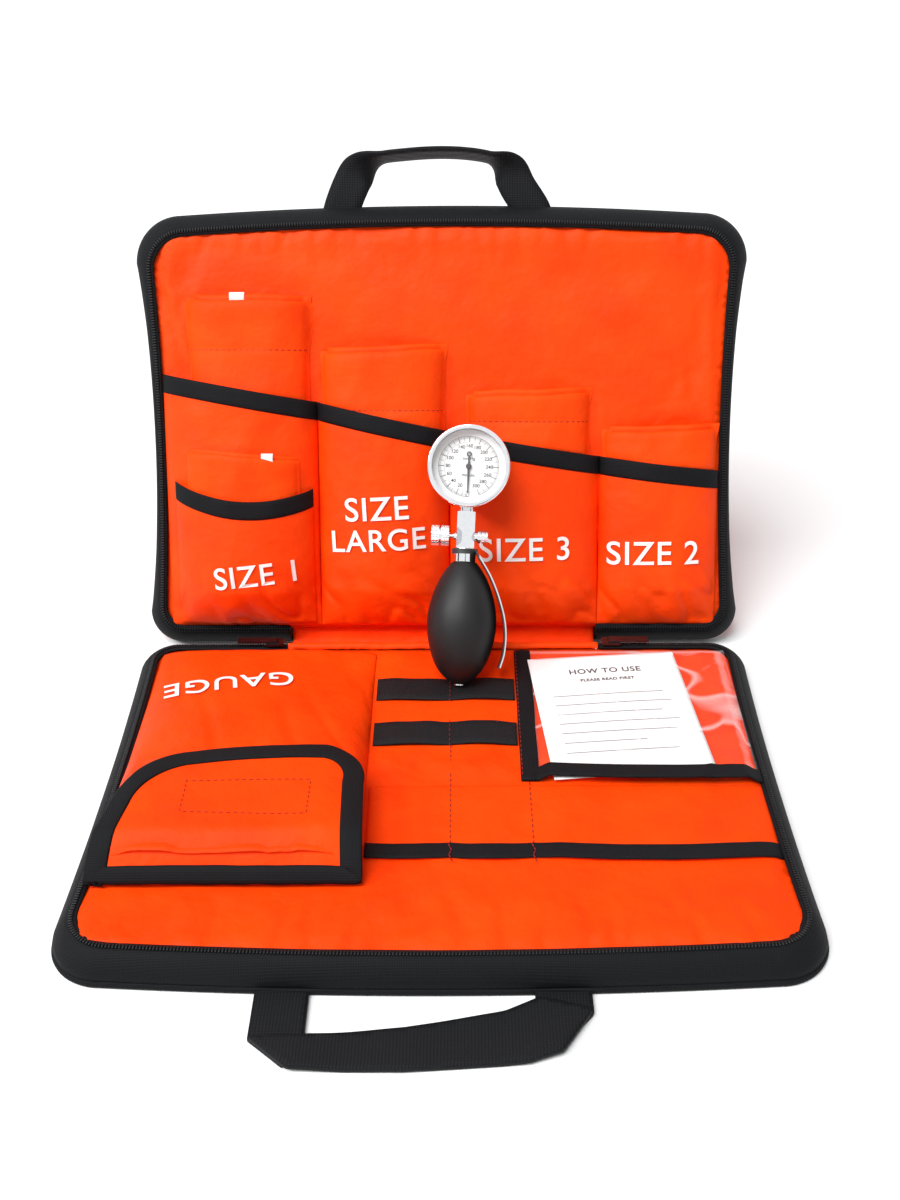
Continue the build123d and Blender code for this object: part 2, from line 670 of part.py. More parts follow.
PORT_L = 7.6
PORT_R = 3.75
PORT_BORE_R = 2.0
with BuildPart() as hose_port:
    with BuildSketch(across_valve(BODY_FLATS / 2)):
        Circle(2.7)
    extrude(amount=PORT_L)
    for ring_at in (1.8, 4.1):
        with BuildSketch(across_valve(BODY_FLATS / 2 + ring_at)):
            Circle(PORT_R)
        extrude(amount=1.7)
    with BuildSketch(across_valve(BODY_FLATS / 2 + 6.4)):
        Circle(PORT_R - 0.3)
    extrude(amount=1.2)
    with BuildSketch(across_valve(BODY_FLATS / 2)):
        Circle(AIR_R)
    extrude(amount=PORT_L, mode=Mode.SUBTRACT)
    with BuildSketch(across_valve(BODY_FLATS / 2 + 1.6)):
        Circle(PORT_BORE_R)
    extrude(amount=6.0, mode=Mode.SUBTRACT)
save(hose_port.part, "hose_port")

# Release valve: a knurled knob whose thread draws a cone-tipped needle off its seat.
KNOB_R = 5.9
KNOB_START = 9.7
KNOB_L = 10.2
NEEDLE_IN = 3.0
with BuildPart() as release_knob:
    with BuildSketch(across_valve(-KNOB_START - KNOB_L)):
        Circle(KNOB_R)
    extrude(amount=KNOB_L)
    with BuildSketch(across_valve(-KNOB_START - KNOB_L / 2 - 0.6)):
        Circle(KNOB_R + 1)
        Circle(KNOB_R - 0.8, mode=Mode.SUBTRACT)
    extrude(amount=1.2, mode=Mode.SUBTRACT)
    with BuildSketch(across_valve(-KNOB_START - NEEDLE_IN - 1.2)):
        Circle(NEEDLE_R + RUN_FIT)
    extrude(amount=NEEDLE_IN + 1.2, mode=Mode.SUBTRACT)
    for start in (-KNOB_START - KNOB_L, -KNOB_START - KNOB_L / 2 + 0.6):
        with BuildSketch(across_valve(start)):
            with PolarLocations(KNOB_R, 30):
                Circle(0.22)
        extrude(amount=KNOB_L / 2 - 0.6, mode=Mode.SUBTRACT)
save(release_knob.part, "release_knob")

with BuildPart() as valve_needle:
    with BuildSketch(across_valve(-KNOB_START - NEEDLE_IN)):
        Circle(NEEDLE_R)
    extrude(amount=KNOB_START + NEEDLE_IN - 3.4)
    with BuildSketch(across_valve(-3.4)):
        Circle(NEEDLE_R)
    with BuildSketch(across_valve(-2.0)):
        Circle(0.3)
    loft()
save(valve_needle.part, "valve_needle")

# Finger spoon: a bent strip held under the valve body by a ring.
SPOON_T = 1.2
SPOON_W = 17.0
SPOON_PATH = (
    (7.3, 77.5), (8.6, 74.6), (11.8, 69.8), (15.9, 63.0), (20.4, 53.0),
    (24.3, 41.0), (25.9, 30.0), (25.4, 19.0), (23.2, 10.5),
)
with BuildPart() as grip_spoon:
    with BuildSketch(GAUGE.offset(-SPOON_W / 2)):
        with BuildLine():
            Spline(*SPOON_PATH)
            Line(SPOON_PATH[-1], (SPOON_PATH[-1][0] - SPOON_T, SPOON_PATH[-1][1]))
            Spline(*[(x - SPOON_T, y) for x, y in reversed(SPOON_PATH)])
            Line((SPOON_PATH[0][0] - SPOON_T, SPOON_PATH[0][1]), SPOON_PATH[0])
        make_face()
    extrude(amount=SPOON_W)
    with BuildSketch(across_stem(75.9)):
        Circle(COLLAR_R + SPOON_T)
    extrude(amount=3.0)
    with BuildSketch(across_stem(70)):
        Circle(COLLAR_R)
    extrude(amount=12, mode=Mode.SUBTRACT)
save(grip_spoon.part, "grip_spoon")

# Gauge head: every layer is a disc or a ring about the dial's axis.
CASE_BACK = -15.0
CASE_FRONT = 7.0
CASE_WALL = 1.2
with BuildPart() as gauge_case:
    disc(CASE_R, CASE_BACK, CASE_FRONT)
    fillet(gauge_case.faces().sort_by(Axis(GAUGE_TIP, face_dir))[0].edges(), radius=3.5)
    disc(CASE_R - CASE_WALL, CASE_BACK + CASE_WALL + 1.5, CASE_FRONT, Mode.SUBTRACT)
    with BuildSketch(across_stem(BODY_TOP)):
        Circle(AIR_R)
    extrude(amount=8, mode=Mode.SUBTRACT)
save(gauge_case.part, "gauge_case")

with BuildPart() as bumper_ring:
    disc(CASE_R + 1.1, -8.0, BEZEL_BACK)
    disc(CASE_R, -8.0, BEZEL_BACK, Mode.SUBTRACT)
    with BuildSketch(dial_plane(-8.0)):
        with PolarLocations(CASE_R + 1.1, 44):
            Rectangle(1.0, 1.6)
    extrude(amount=9, mode=Mode.SUBTRACT)
    with BuildSketch(across_stem(BODY_TOP)):
        Circle(4.6)
    extrude(amount=8, mode=Mode.SUBTRACT)
save(bumper_ring.part, "bumper_ring")

BEZEL_TOP = 10.4
CRYSTAL_T = 1.2
with BuildPart() as bezel:
    disc(BEZEL_R, BEZEL_BACK, BEZEL_TOP)
    fillet(bezel.edges().group_by(Axis(GAUGE_TIP, face_dir))[-1], radius=1.1)
    disc(CASE_R, BEZEL_BACK, CASE_FRONT + CRYSTAL_T, Mode.SUBTRACT)
    disc(CASE_R - CASE_WALL, BEZEL_BACK, BEZEL_TOP, Mode.SUBTRACT)
save(bezel.part, "bezel")

with BuildPart() as crystal:
    disc(CASE_R, CASE_FRONT, CASE_FRONT + CRYSTAL_T)
save(crystal.part, "crystal")

DIAL_FACE = 3.6
with BuildPart() as dial:
    disc(CASE_R - CASE_WALL, DIAL_FACE - 0.6, DIAL_FACE)
    disc(1.2, DIAL_FACE - 0.6, DIAL_FACE, Mode.SUBTRACT)
save(dial.part, "dial")

# Movement: two plates on pillars over a pressure capsule. A sector turns the pointer's pinion.
PINION_R = 1.5
SECTOR_R = 12.0
SECTOR_DROP = PINION_R + SECTOR_R + 0.1
SHAFT_R = 0.6
PLATES = ((-6.0, -5.0), (-1.0, 0.0))
with BuildPart() as movement:
    for low, high in PLATES:
        disc(17.5, low, high)
    with BuildSketch(dial_plane(PLATES[0][1])):
        with Locations((12, 8), (-12, 8)):
            Circle(1.2)
    extrude(amount=PLATES[1][0] - PLATES[0][1])
    with BuildSketch(dial_plane(PLATES[0][0])):
        Circle(SHAFT_R + RUN_FIT)
        with Locations((0, -SECTOR_DROP)):
            Circle(SHAFT_R + RUN_FIT)
    extrude(amount=8, mode=Mode.SUBTRACT)
    disc(3.0, -8.0, -6.9)
    disc(15.0, CASE_BACK + CASE_WALL + 1.5, -8.0)
    disc(14.0, -10.6, -9.8, Mode.SUBTRACT)
    disc(8.0, -10.6, -9.8)
save(movement.part, "movement")

with BuildPart() as sector_gear:
    with BuildSketch(dial_plane(-3.8)):
        with Locations((0, -SECTOR_DROP)):
            Circle(2.0)
        with BuildLine():
            spread = [math.radians(90 - 21 + half) for half in (-27, 0, 27)]
            tips = [(SECTOR_R * math.cos(a), SECTOR_R * math.sin(a) - SECTOR_DROP) for a in spread]
            ThreePointArc(*tips)
            Polyline(tips[2], (0, -SECTOR_DROP), tips[0])
        make_face()
    extrude(amount=1.2)
    with BuildSketch(dial_plane(PLATES[0][0])):
        with Locations((0, -SECTOR_DROP)):
            Circle(SHAFT_R)
    extrude(amount=6.0)
save(sector_gear.part, "sector_gear")

POINTER_LOW = 4.4
with BuildPart() as pointer:
    with BuildSketch(dial_plane(POINTER_LOW)):
        with BuildLine():
            Polyline((-0.75, 0), (-0.3, -15.5), (0.3, -15.5), (0.75, 0), (0.35, 6), (-0.35, 6), close=True)
        make_face()
        with Locations((0, 7.2)):
            Circle(1.5)
            Circle(0.8, mode=Mode.SUBTRACT)
        Circle(1.7)
    extrude(amount=0.45)
    disc(1.1, POINTER_LOW, POINTER_LOW + 1.4)
    disc(SHAFT_R, PLATES[0][0], POINTER_LOW)
    disc(PINION_R, -4.2, -2.2)
save(pointer.part, "pointer")
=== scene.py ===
import bpy
import math
import numpy as np
from mathutils import Matrix, Vector, noise
from mathutils.geometry import delaunay_2d_cdt


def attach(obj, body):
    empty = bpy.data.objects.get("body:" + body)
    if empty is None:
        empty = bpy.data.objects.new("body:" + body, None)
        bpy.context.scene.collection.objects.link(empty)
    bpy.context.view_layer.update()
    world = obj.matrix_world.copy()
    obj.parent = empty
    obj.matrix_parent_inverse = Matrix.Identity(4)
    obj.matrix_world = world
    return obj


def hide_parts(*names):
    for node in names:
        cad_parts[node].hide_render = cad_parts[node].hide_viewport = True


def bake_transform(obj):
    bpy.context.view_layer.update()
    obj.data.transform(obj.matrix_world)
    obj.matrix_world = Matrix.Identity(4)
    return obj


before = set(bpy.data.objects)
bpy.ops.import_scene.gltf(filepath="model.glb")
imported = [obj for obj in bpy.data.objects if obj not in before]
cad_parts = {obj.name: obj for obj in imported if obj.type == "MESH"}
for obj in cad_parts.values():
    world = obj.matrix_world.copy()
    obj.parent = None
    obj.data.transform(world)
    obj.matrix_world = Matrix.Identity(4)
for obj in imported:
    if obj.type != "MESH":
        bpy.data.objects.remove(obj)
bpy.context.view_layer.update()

# Shapes are worked out in millimetres and stored in metres. A point on a leaf is (x, s, n):
# across, away from the hinge edge, and up from the leaf's outer face.
MM = 0.001
LEAF_W = 370.0
LEAF_D = 262.0
BACK_Y = LEAF_D / 2
HINGE_Y = BACK_Y + 20.0
LEAN = math.radians(66.7)
LEAN_SIN = math.sin(LEAN)
LEAN_COS = math.cos(LEAN)
LINING_TOP = 16.5
BOARD_TOP = 3.2
LINING_INSET = 11.5
SPINE_HALF = 95.0
LOWER_WAISTS = (2.0, 2.0)  # how far the sides pull in, at the outer face and at the rim
UPPER_WAISTS = (9.0, 3.0)


def on_lower(x, s, n):
    """Points on the lower leaf, in the shared frame."""
    x, s, n = np.broadcast_arrays(x, s, n)
    return np.stack([x, BACK_Y - s, n], -1).astype(float)


def on_upper(x, s, n):
    """Points on the upper leaf, in the shared frame."""
    x, s, n = np.broadcast_arrays(x, s, n)
    y = HINGE_Y + s * LEAN_COS - n * LEAN_SIN
    return np.stack([x, y, s * LEAN_SIN + n * LEAN_COS], -1).astype(float)


# ---- small mathematics ----------------------------------------------------------------------
def smooth(t):
    """0 to 1 with flat ends."""
    t = np.clip(t, 0, 1)
    return t * t * (3 - 2 * t)


def bunched(count):
    """Steps from 0 to 1 that crowd together at both ends."""
    return (1 - np.cos(np.linspace(0, np.pi, count))) / 2


def ripple(x, s, size_x, size_s, turn=0.0, seed=0.0):
    """Smooth noise from -1 to 1 over a leaf; the sizes are the wrinkles' width and length."""
    x, s = np.broadcast_arrays(np.asarray(x, float), np.asarray(s, float))
    c = math.cos(math.radians(turn))
    d = math.sin(math.radians(turn))
    a = ((x * c + s * d) / size_x).ravel()
    b = ((s * c - x * d) / size_s).ravel()
    values = [noise.noise(Vector((p, q, seed))) for p, q in zip(a, b)]
    return np.array(values).reshape(x.shape)


def crease(x, s, size_x, size_s, turn=0.0, seed=0.0):
    """Sharp-backed folds from 0 to 1."""
    return np.clip(1 - 3.2 * np.abs(ripple(x, s, size_x, size_s, turn, seed)), 0, 1) ** 2


def arc(a, m, b, count):
    """Points on the circle through three points, without the last one."""
    ax, ay = a
    bx, by = m[0] - ax, m[1] - ay
    cx, cy = b[0] - ax, b[1] - ay
    det = 2 * (bx * cy - by * cx)
    if abs(det) < 1e-6:
        t = np.linspace(0, 1, count, endpoint=False)[:, None]
        return np.array(a) * (1 - t) + np.array(b) * t
    ux = (cy * (bx * bx + by * by) - by * (cx * cx + cy * cy)) / det
    uy = (bx * (cx * cx + cy * cy) - cx * (bx * bx + by * by)) / det
    start = math.atan2(-uy, -ux)
    end = math.atan2(cy - uy, cx - ux) - start
    turn = 2 * math.pi
    if det > 0:
        end = end % turn
    else:
        end = -((-end) % turn)
    t = start + np.linspace(0, end, count, endpoint=False)
    r = math.hypot(ux, uy)
    return np.stack([ax + ux + r * np.cos(t), ay + uy + r * np.sin(t)], -1)


def rail(inset, waist, hinge_gap=0.0):
    """Plan line of a leaf's edge at an inset, from the right of the hinge side round to its left.
    With a hinge gap, the line starts and ends that far from the middle of the hinge side."""
    half = LEAF_W / 2 - inset
    near = 20.0 - inset * 0.6
    far = 28.0 - inset * 0.6
    top = LEAF_D - inset
    diag = math.sqrt(0.5)
    corner = near - near * diag
    free = far - far * diag
    right = [
        arc((hinge_gap, inset), (half / 2, inset), (half - near, inset), 36),
        arc((half - near, inset), (half - corner, inset + corner), (half, inset + near), 14),
        arc((half, inset + near), (half - waist, LEAF_D / 2), (half, top - far), 80),
        arc((half, top - far), (half - free, top - free), (half - far, top), 16),
        arc((half - far, top), (0, top + 5.0), (-half + far, top), 110),
    ]
    right = np.concatenate(right)
    far_left = [
        arc((-half + far, top), (-half + free, top - free), (-half, top - far), 16),
        arc((-half, top - far), (-half + waist, LEAF_D / 2), (-half, inset + near), 80),
        arc((-half, inset + near), (-half + corner, inset + corner), (-half + near, inset), 14),
        arc((-half + near, inset), (-half / 2, inset), (-hinge_gap, inset), 36),
    ]
    points = np.concatenate([right, *far_left])
    if hinge_gap > 0:
        points = np.concatenate([points, [[-hinge_gap, inset]]])
    return points


def spaced(points, pitch):
    """The same line with points at an even pitch, and the direction at each."""
    steps = np.linalg.norm(np.diff(points, axis=0), axis=1)
    along = np.concatenate([[0], np.cumsum(steps)])
    count = max(2, int(round(along[-1] / pitch)) + 1)
    at = np.linspace(0, along[-1], count)
    line = np.stack([np.interp(at, along, points[:, k]) for k in range(points.shape[1])], -1)
    ahead = np.gradient(line, axis=0)
    return line, ahead / np.linalg.norm(ahead, axis=1, keepdims=True)


# ---- mesh helpers ---------------------------------------------------------------------------
def piece(name, points, faces, material, body=None, replaces=(), flat=False):
    """A mesh object from points in millimetres, riding on a body."""
    mesh = bpy.data.meshes.new(name)
    mesh.from_pydata((np.asarray(points, float).reshape(-1, 3) * MM).tolist(), [], faces)
    mesh.validate()
    obj = bpy.data.objects.new(name, mesh)
    bpy.context.scene.collection.objects.link(obj)
    mesh.materials.append(material)
    if not flat:
        mesh.shade_smooth()
    if body:
        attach(obj, body)
    if replaces:
        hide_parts(*replaces)
    return obj


def grid_faces(rows, cols, start=0, wrap_rows=False, wrap_cols=False):
    """Quads of a grid of points stored row by row."""
    faces = []
    for i in range(rows if wrap_rows else rows - 1):
        for j in range(cols if wrap_cols else cols - 1):
            a = start + i * cols + j
            b = start + i * cols + (j + 1) % cols
            c = start + ((i + 1) % rows) * cols + (j + 1) % cols
            d = start + ((i + 1) % rows) * cols + j
            faces.append((a, b, c, d))
    return faces


def closed_grid(top, under):
    """Closed solid between two matching grids of points."""
    rows, cols = top.shape[:2]
    count = rows * cols
    faces = grid_faces(rows, cols)
    faces += [tuple(v + count for v in reversed(f)) for f in faces]
    edge = list(range(cols))
    edge += [i * cols + cols - 1 for i in range(1, rows)]
    edge += [(rows - 1) * cols + j for j in range(cols - 2, -1, -1)]
    edge += [i * cols for i in range(rows - 2, 0, -1)]
    for a, b in zip(edge, edge[1:] + edge[:1]):
        faces.append((b, a, a + count, b + count))
    return np.concatenate([top.reshape(-1, 3), under.reshape(-1, 3)]), faces


def sheet_solid(points, thickness, rounding=0.35):
    """Closed sheet from a grid of points of its upper side; its edges are rounded over."""
    points = np.asarray(points, float)
    along = np.gradient(points, axis=0)
    across = np.gradient(points, axis=1)
    normal = np.cross(along, across)
    normal /= np.maximum(np.linalg.norm(normal, axis=2, keepdims=True), 1e-9)
    if (normal[..., 2] - 0.5 * normal[..., 1]).mean() < 0:  # its face looks out of the case
        return sheet_solid(points[:, ::-1], thickness, rounding)
    under = points - normal * thickness
    # the outermost row and column of each side draw in, which rounds the edge
    top = points.copy()
    for grid, sign in ((top, -1), (under, 1)):
        grid[0] += normal[0] * sign * thickness * rounding
        grid[-1] += normal[-1] * sign * thickness * rounding
        grid[:, 0] += normal[:, 0] * sign * thickness * rounding
        grid[:, -1] += normal[:, -1] * sign * thickness * rounding
    return closed_grid(top, under)


def filled(outline, pitch, place, height, depth):
    """Closed pad over an outline: its top follows height(x, s), its underside is flat at depth."""
    line, _ = spaced(np.concatenate([outline, outline[:1]]), pitch)
    line = line[:-1]
    low, high = line.min(0), line.max(0)
    inner = []
    row = 0
    s = low[1] + pitch
    while s < high[1]:
        shift = pitch / 2 if row % 2 else 0.0
        inner += [(x, s) for x in np.arange(low[0] + pitch + shift, high[0] - pitch / 2, pitch)]
        s += pitch * 0.87
        row += 1
    inner = np.array(inner)
    # keep the points well inside the outline
    ahead = np.roll(line, -1, axis=0) - line
    inside = np.zeros(len(inner), bool)
    nearest = np.full(len(inner), 1e9)
    for (ax, ay), (dx, dy) in zip(line, ahead):
        by = ay + dy
        cross = ((inner[:, 1] >= ay) != (inner[:, 1] >= by)) & (
            inner[:, 0] < ax + dx * (inner[:, 1] - ay) / (dy if dy else 1e-9)
        )
        inside ^= cross
        nearest = np.minimum(nearest, np.hypot(inner[:, 0] - ax, inner[:, 1] - ay))
    inner = inner[inside & (nearest > pitch * 0.7)]
    points = [Vector(p) for p in np.concatenate([line, inner])]
    made = delaunay_2d_cdt(points, [], [list(range(len(line)))], 1, 1e-5)
    flat = np.array([tuple(p) for p in made[0]])
    tris = [list(f) for f in made[2]]
    count = len(flat)
    top = place(flat[:, 0], flat[:, 1], height(flat[:, 0], flat[:, 1]))
    under = place(flat[:, 0], flat[:, 1], np.full(count, float(depth)))
    rim = {}
    for f in tris:
        for a, b in zip(f, f[1:] + f[:1]):
            rim[(a, b)] = rim.get((a, b), 0) + 1
    faces = [tuple(f) for f in tris]
    faces += [tuple(v + count for v in reversed(f)) for f in tris]
    for a, b in rim:
        if (b, a) not in rim:
            faces.append((b, a, a + count, b + count))
    return np.concatenate([top, under]), faces


def swept(rows, closed_rows=False, cap=True):
    """Closed tube from a stack of cross-section loops of equal length."""
    rows = np.asarray(rows, float)
    count, around = rows.shape[:2]
    faces = grid_faces(count, around, wrap_rows=closed_rows, wrap_cols=True)
    if cap and not closed_rows:
        faces.append(tuple(reversed(range(around))))
        faces.append(tuple(range((count - 1) * around, count * around)))
    return rows.reshape(-1, 3), faces


def joined(parts):
    """Several (points, faces) pairs as one."""
    points, faces, start = [], [], 0
    for p, f in parts:
        points.append(np.asarray(p, float).reshape(-1, 3))
        faces += [tuple(v + start for v in face) for face in f]
        start += len(points[-1])
    return np.concatenate(points), faces


def thread(points, normals, width=0.55, height=0.35, stitch=2.6, gap=1.3):
    """Stitches: little lozenges along a line of points lying on a surface, with its normals."""
    line = np.concatenate([points, normals], axis=1)
    even, _ = spaced(line, stitch + gap)
    parts = []
    for a in even:
        at, up = a[:3], a[3:] / np.linalg.norm(a[3:])
        near = min(np.argmin(np.linalg.norm(points - at, axis=1)), len(points) - 2)
        ahead = points[near + 1] - points[near]
        ahead = ahead / max(np.linalg.norm(ahead), 1e-9)
        side = np.cross(up, ahead)
        half = stitch / 2
        ring = []
        for t, w in ((-1, 0.25), (-0.6, 1.0), (0.6, 1.0), (1, 0.25)):
            mid = at + ahead * t * half
            ring.append(
                [
                    mid + side * width / 2 * w,
                    mid + up * height * w,
                    mid - side * width / 2 * w,
                    mid - up * 0.15,
                ]
            )
        parts.append(swept(ring))
    return joined(parts)


def surface_line(place, height, xs, ss, lift):
    """Points on a leaf's surface along (xs, ss), raised by lift, with the leaf's normal."""
    points = place(xs, ss, height(xs, ss) + lift)
    up = place(np.zeros(1), np.zeros(1), np.ones(1)) - place(np.zeros(1), np.zeros(1), np.zeros(1))
    return points, np.repeat(up, len(points), axis=0)


# ---- materials ------------------------------------------------------------------------------
def shader(name):
    """A new material, a way to add a node to it, and a way to set or feed its shader's sockets."""
    material = bpy.data.materials.new(name)
    material.use_nodes = True
    tree = material.node_tree
    surface = tree.nodes["Principled BSDF"]

    def add(kind, inputs=None, **settings):
        node = tree.nodes.new(kind)
        for key, value in settings.items():
            setattr(node, key, value)
        for key, value in (inputs or {}).items():
            if isinstance(value, bpy.types.NodeSocket):
                tree.links.new(value, node.inputs[key])
            else:
                node.inputs[key].default_value = value
        return node

    def fit(key, value):
        socket = surface.inputs[key]
        if isinstance(value, bpy.types.NodeSocket):
            tree.links.new(value, socket)
        else:
            socket.default_value = value

    return material, add, fit


def blend_colour(add, low, high, by):
    """Colour between two, chosen by a 0 to 1 value."""
    mix = add("ShaderNodeMix", data_type="RGBA")
    mix.inputs["A"].default_value = (*low, 1)
    mix.inputs["B"].default_value = (*high, 1)
    mix.id_data.links.new(by, mix.inputs["Factor"])
    return mix.outputs["Result"]


def between(add, value, low, high):
    """A 0 to 1 value spread between two others."""
    node = add("ShaderNodeMapRange", {"Value": value, "To Min": low, "To Max": high})
    return node.outputs["Result"]


def bumped(add, height, strength, distance, **under):
    """Normals of a fine relief, over those of another one if it is given."""
    node = add(
        "ShaderNodeBump", {"Height": height, "Strength": strength, "Distance": distance, **under}
    )
    return node.outputs["Normal"]


WAVE_PERIOD = 0.31416  # length of one band of a Wave texture at scale 1


def woven(name, dark, light, pitch, tilt, rough, sheen=0.0, depth=0.25, crumple=0.45, specular=0.4):
    """Plain woven cloth aligned with its leaf: crossing threads, mottled dye and soft crumples."""
    material, add, fit = shader(name)
    coords = add("ShaderNodeTexCoord").outputs["Object"]
    turned = add("ShaderNodeMapping", {"Vector": coords, "Rotation": (-tilt, 0, 0)}).outputs[0]
    bands = []
    for way, size in (("X", pitch[0]), ("Y", pitch[1])):
        wave = add(
            "ShaderNodeTexWave",
            {"Vector": turned, "Scale": WAVE_PERIOD / (size * MM), "Distortion": 0.6, "Detail": 1.0},
            bands_direction=way,
        )
        bands.append(wave.outputs["Fac"])
    threads = add("ShaderNodeMath", {0: bands[0], 1: bands[1]}, operation="MULTIPLY").outputs[0]
    dye = add("ShaderNodeTexNoise", {"Vector": turned, "Scale": 26.0, "Detail": 5.0}).outputs["Fac"]
    tone = add("ShaderNodeMath", {0: threads, 1: 0.25}, operation="MULTIPLY").outputs[0]
    tone = add("ShaderNodeMath", {0: tone, 1: dye}, operation="ADD").outputs[0]
    fit("Base Color", blend_colour(add, dark, light, tone))
    fine = bumped(add, threads, depth, 0.0003)
    folds = add("ShaderNodeTexNoise", {"Vector": turned, "Scale": 60.0, "Detail": 3.0})
    fit("Normal", bumped(add, folds.outputs["Fac"], crumple, 0.004, Normal=fine))
    fit("Roughness", between(add, dye, rough - 0.06, rough + 0.08))
    fit("Specular IOR Level", specular)
    fit("Sheen Weight", sheen)
    fit("Sheen Roughness", 0.4)
    return material


def metal(name, colour, rough, brushed=0.0):
    """Plated or turned metal with faint wear: mottled spots in its colour, roughness and relief."""
    material, add, fit = shader(name)
    coords = add("ShaderNodeTexCoord").outputs["Object"]
    spots = add("ShaderNodeTexNoise", {"Vector": coords, "Scale": 350.0, "Detail": 4.0})
    fit("Roughness", between(add, spots.outputs["Fac"], rough * 0.7, rough * 1.6))
    darker = tuple(c * 0.86 for c in colour)
    tone = blend_colour(add, darker, colour, spots.outputs["Fac"])
    fit("Base Color", tone)
    fit("Metallic", 1.0)
    fit("Normal", bumped(add, spots.outputs["Fac"], 0.05 + brushed, 0.0001))
    return material


def moulded(name, low, high, rough, grain=400.0, depth=0.1, specular=0.5):
    """Rubber, plastic, foam, paper or print: a mottled colour over a fine grain."""
    material, add, fit = shader(name)
    coords = add("ShaderNodeTexCoord").outputs["Object"]
    spots = add("ShaderNodeTexNoise", {"Vector": coords, "Scale": grain, "Detail": 4.0})
    broad = add("ShaderNodeTexNoise", {"Vector": coords, "Scale": grain / 12, "Detail": 3.0})
    tone = blend_colour(add, low, high, broad.outputs["Fac"])
    fit("Base Color", tone)
    fit("Roughness", between(add, broad.outputs["Fac"], rough - 0.05, rough + 0.08))
    fit("Normal", bumped(add, spots.outputs["Fac"], depth, 0.0002))
    fit("Specular IOR Level", specular)
    return material


def clear(name, tint, least, rough, wrinkle, painted_glint_strength=0.0):
    """See-through sheet: faint body, gloss that grows at grazing angles, and painted highlight streaks where
    thin noise lines make it more opaque white.
    """
    material, add, fit = shader(name)
    coords = add("ShaderNodeTexCoord").outputs["Object"]
    folds = add("ShaderNodeTexNoise", {"Vector": coords, "Scale": 45.0, "Detail": 4.0})
    bump = bumped(add, folds.outputs["Fac"], wrinkle, 0.004)
    fit("Normal", bump)
    rim = add("ShaderNodeLayerWeight", {"Blend": 0.5, "Normal": bump})
    body = add(
        "ShaderNodeMapRange",
        {
            "Value": rim.outputs["Facing"],
            "From Min": 0.5,
            "From Max": 1.0,
            "To Min": least,
            "To Max": 0.45,
        },
    )
    # painted highlight: along thin noise lines the white sheet is made more opaque, standing in for
    # reflection streaks
    crossed = add("ShaderNodeTexNoise", {"Vector": coords, "Scale": 14.0, "Detail": 1.5, "Distortion": 0.8})
    middle = add("ShaderNodeMath", {0: crossed.outputs["Fac"], 1: 0.5}, operation="SUBTRACT").outputs[0]
    middle = add("ShaderNodeMath", {0: middle}, operation="ABSOLUTE").outputs[0]
    painted_glint_streaks = add(
        "ShaderNodeMapRange",
        {"Value": middle, "From Min": 0.0, "From Max": 0.018, "To Min": painted_glint_strength, "To Max": 0.0},
    )
    seen = add("ShaderNodeMath", {0: body.outputs["Result"], 1: painted_glint_streaks.outputs["Result"]}, operation="ADD")
    fit("Alpha", seen.outputs[0])
    smear = add("ShaderNodeTexNoise", {"Vector": coords, "Scale": 90.0, "Detail": 2.0})
    fit("Roughness", between(add, smear.outputs["Fac"], rough, rough + 0.1))
    fit("Base Color", (*tint, 1))
    fit("Specular IOR Level", 0.8)
    return material


ORANGE_DARK = (0.90, 0.030, 0.0006)
ORANGE_LIGHT = (0.97, 0.075, 0.0015)
BLACK = (0.0012, 0.0013, 0.0018)
BLACK_WORN = (0.0045, 0.005, 0.0065)
NYLON_PITCH = (0.55, 0.55)
TAPE_PITCH = (1.1, 0.8)
CUFF_LIGHT = (0.97, 0.085, 0.003)
lower_nylon = woven("nylon_lower", ORANGE_DARK, ORANGE_LIGHT, NYLON_PITCH, 0, 0.5, 0.0, specular=0.1)
upper_nylon = woven("nylon_upper", ORANGE_DARK, ORANGE_LIGHT, NYLON_PITCH, LEAN, 0.46, 0.0, specular=0.13)
cuff_nylon = woven("nylon_cuffs", ORANGE_DARK, CUFF_LIGHT, (0.7, 0.7), LEAN, 0.55, 0.0, specular=0.1)
lower_tape = woven("tape_lower", BLACK, BLACK_WORN, TAPE_PITCH, 0, 0.7, 0.0, 0.5, 0.05, 0.16)
upper_tape = woven("tape_upper", BLACK, BLACK_WORN, TAPE_PITCH, LEAN, 0.7, 0.0, 0.5, 0.05, 0.16)
lower_web = woven("webbing_lower", BLACK, BLACK_WORN, (1.5, 1.0), 0, 0.65, 0.0, 0.9, 0.1, 0.2)
upper_web = woven("webbing_upper", BLACK, BLACK_WORN, (1.5, 1.0), LEAN, 0.65, 0.0, 0.9, 0.1, 0.2)
elastic = woven("elastic", BLACK, BLACK_WORN, (0.9, 1.6), 0, 0.7, 0.0, 0.8, 0.05, 0.25)
hook_loop = moulded("hook_loop", BLACK, BLACK_WORN, 0.9, 1500.0, 1.0, 0.2)
red_thread = moulded("thread_red", (0.2, 0.004, 0.002), (0.34, 0.008, 0.004), 0.6, 900.0, 0.3)
black_thread = moulded("thread_black", BLACK, BLACK_WORN, 0.5, 900.0, 0.3)
white_print = moulded("print_white", (0.8, 0.78, 0.76), (0.92, 0.91, 0.9), 0.55, 700.0, 0.2)
tag_white = woven("tag_white", (0.7, 0.7, 0.7), (0.9, 0.9, 0.9), (0.6, 0.6), LEAN, 0.7)
paper = moulded("paper", (0.84, 0.84, 0.83), (0.93, 0.93, 0.93), 0.7, 500.0, 0.08, 0.3)
ink = moulded("ink", (0.02, 0.02, 0.025), (0.05, 0.05, 0.055), 0.6, 600.0, 0.1)
grey_ink = moulded("ink_grey", (0.25, 0.25, 0.26), (0.35, 0.35, 0.36), 0.6, 600.0, 0.1)
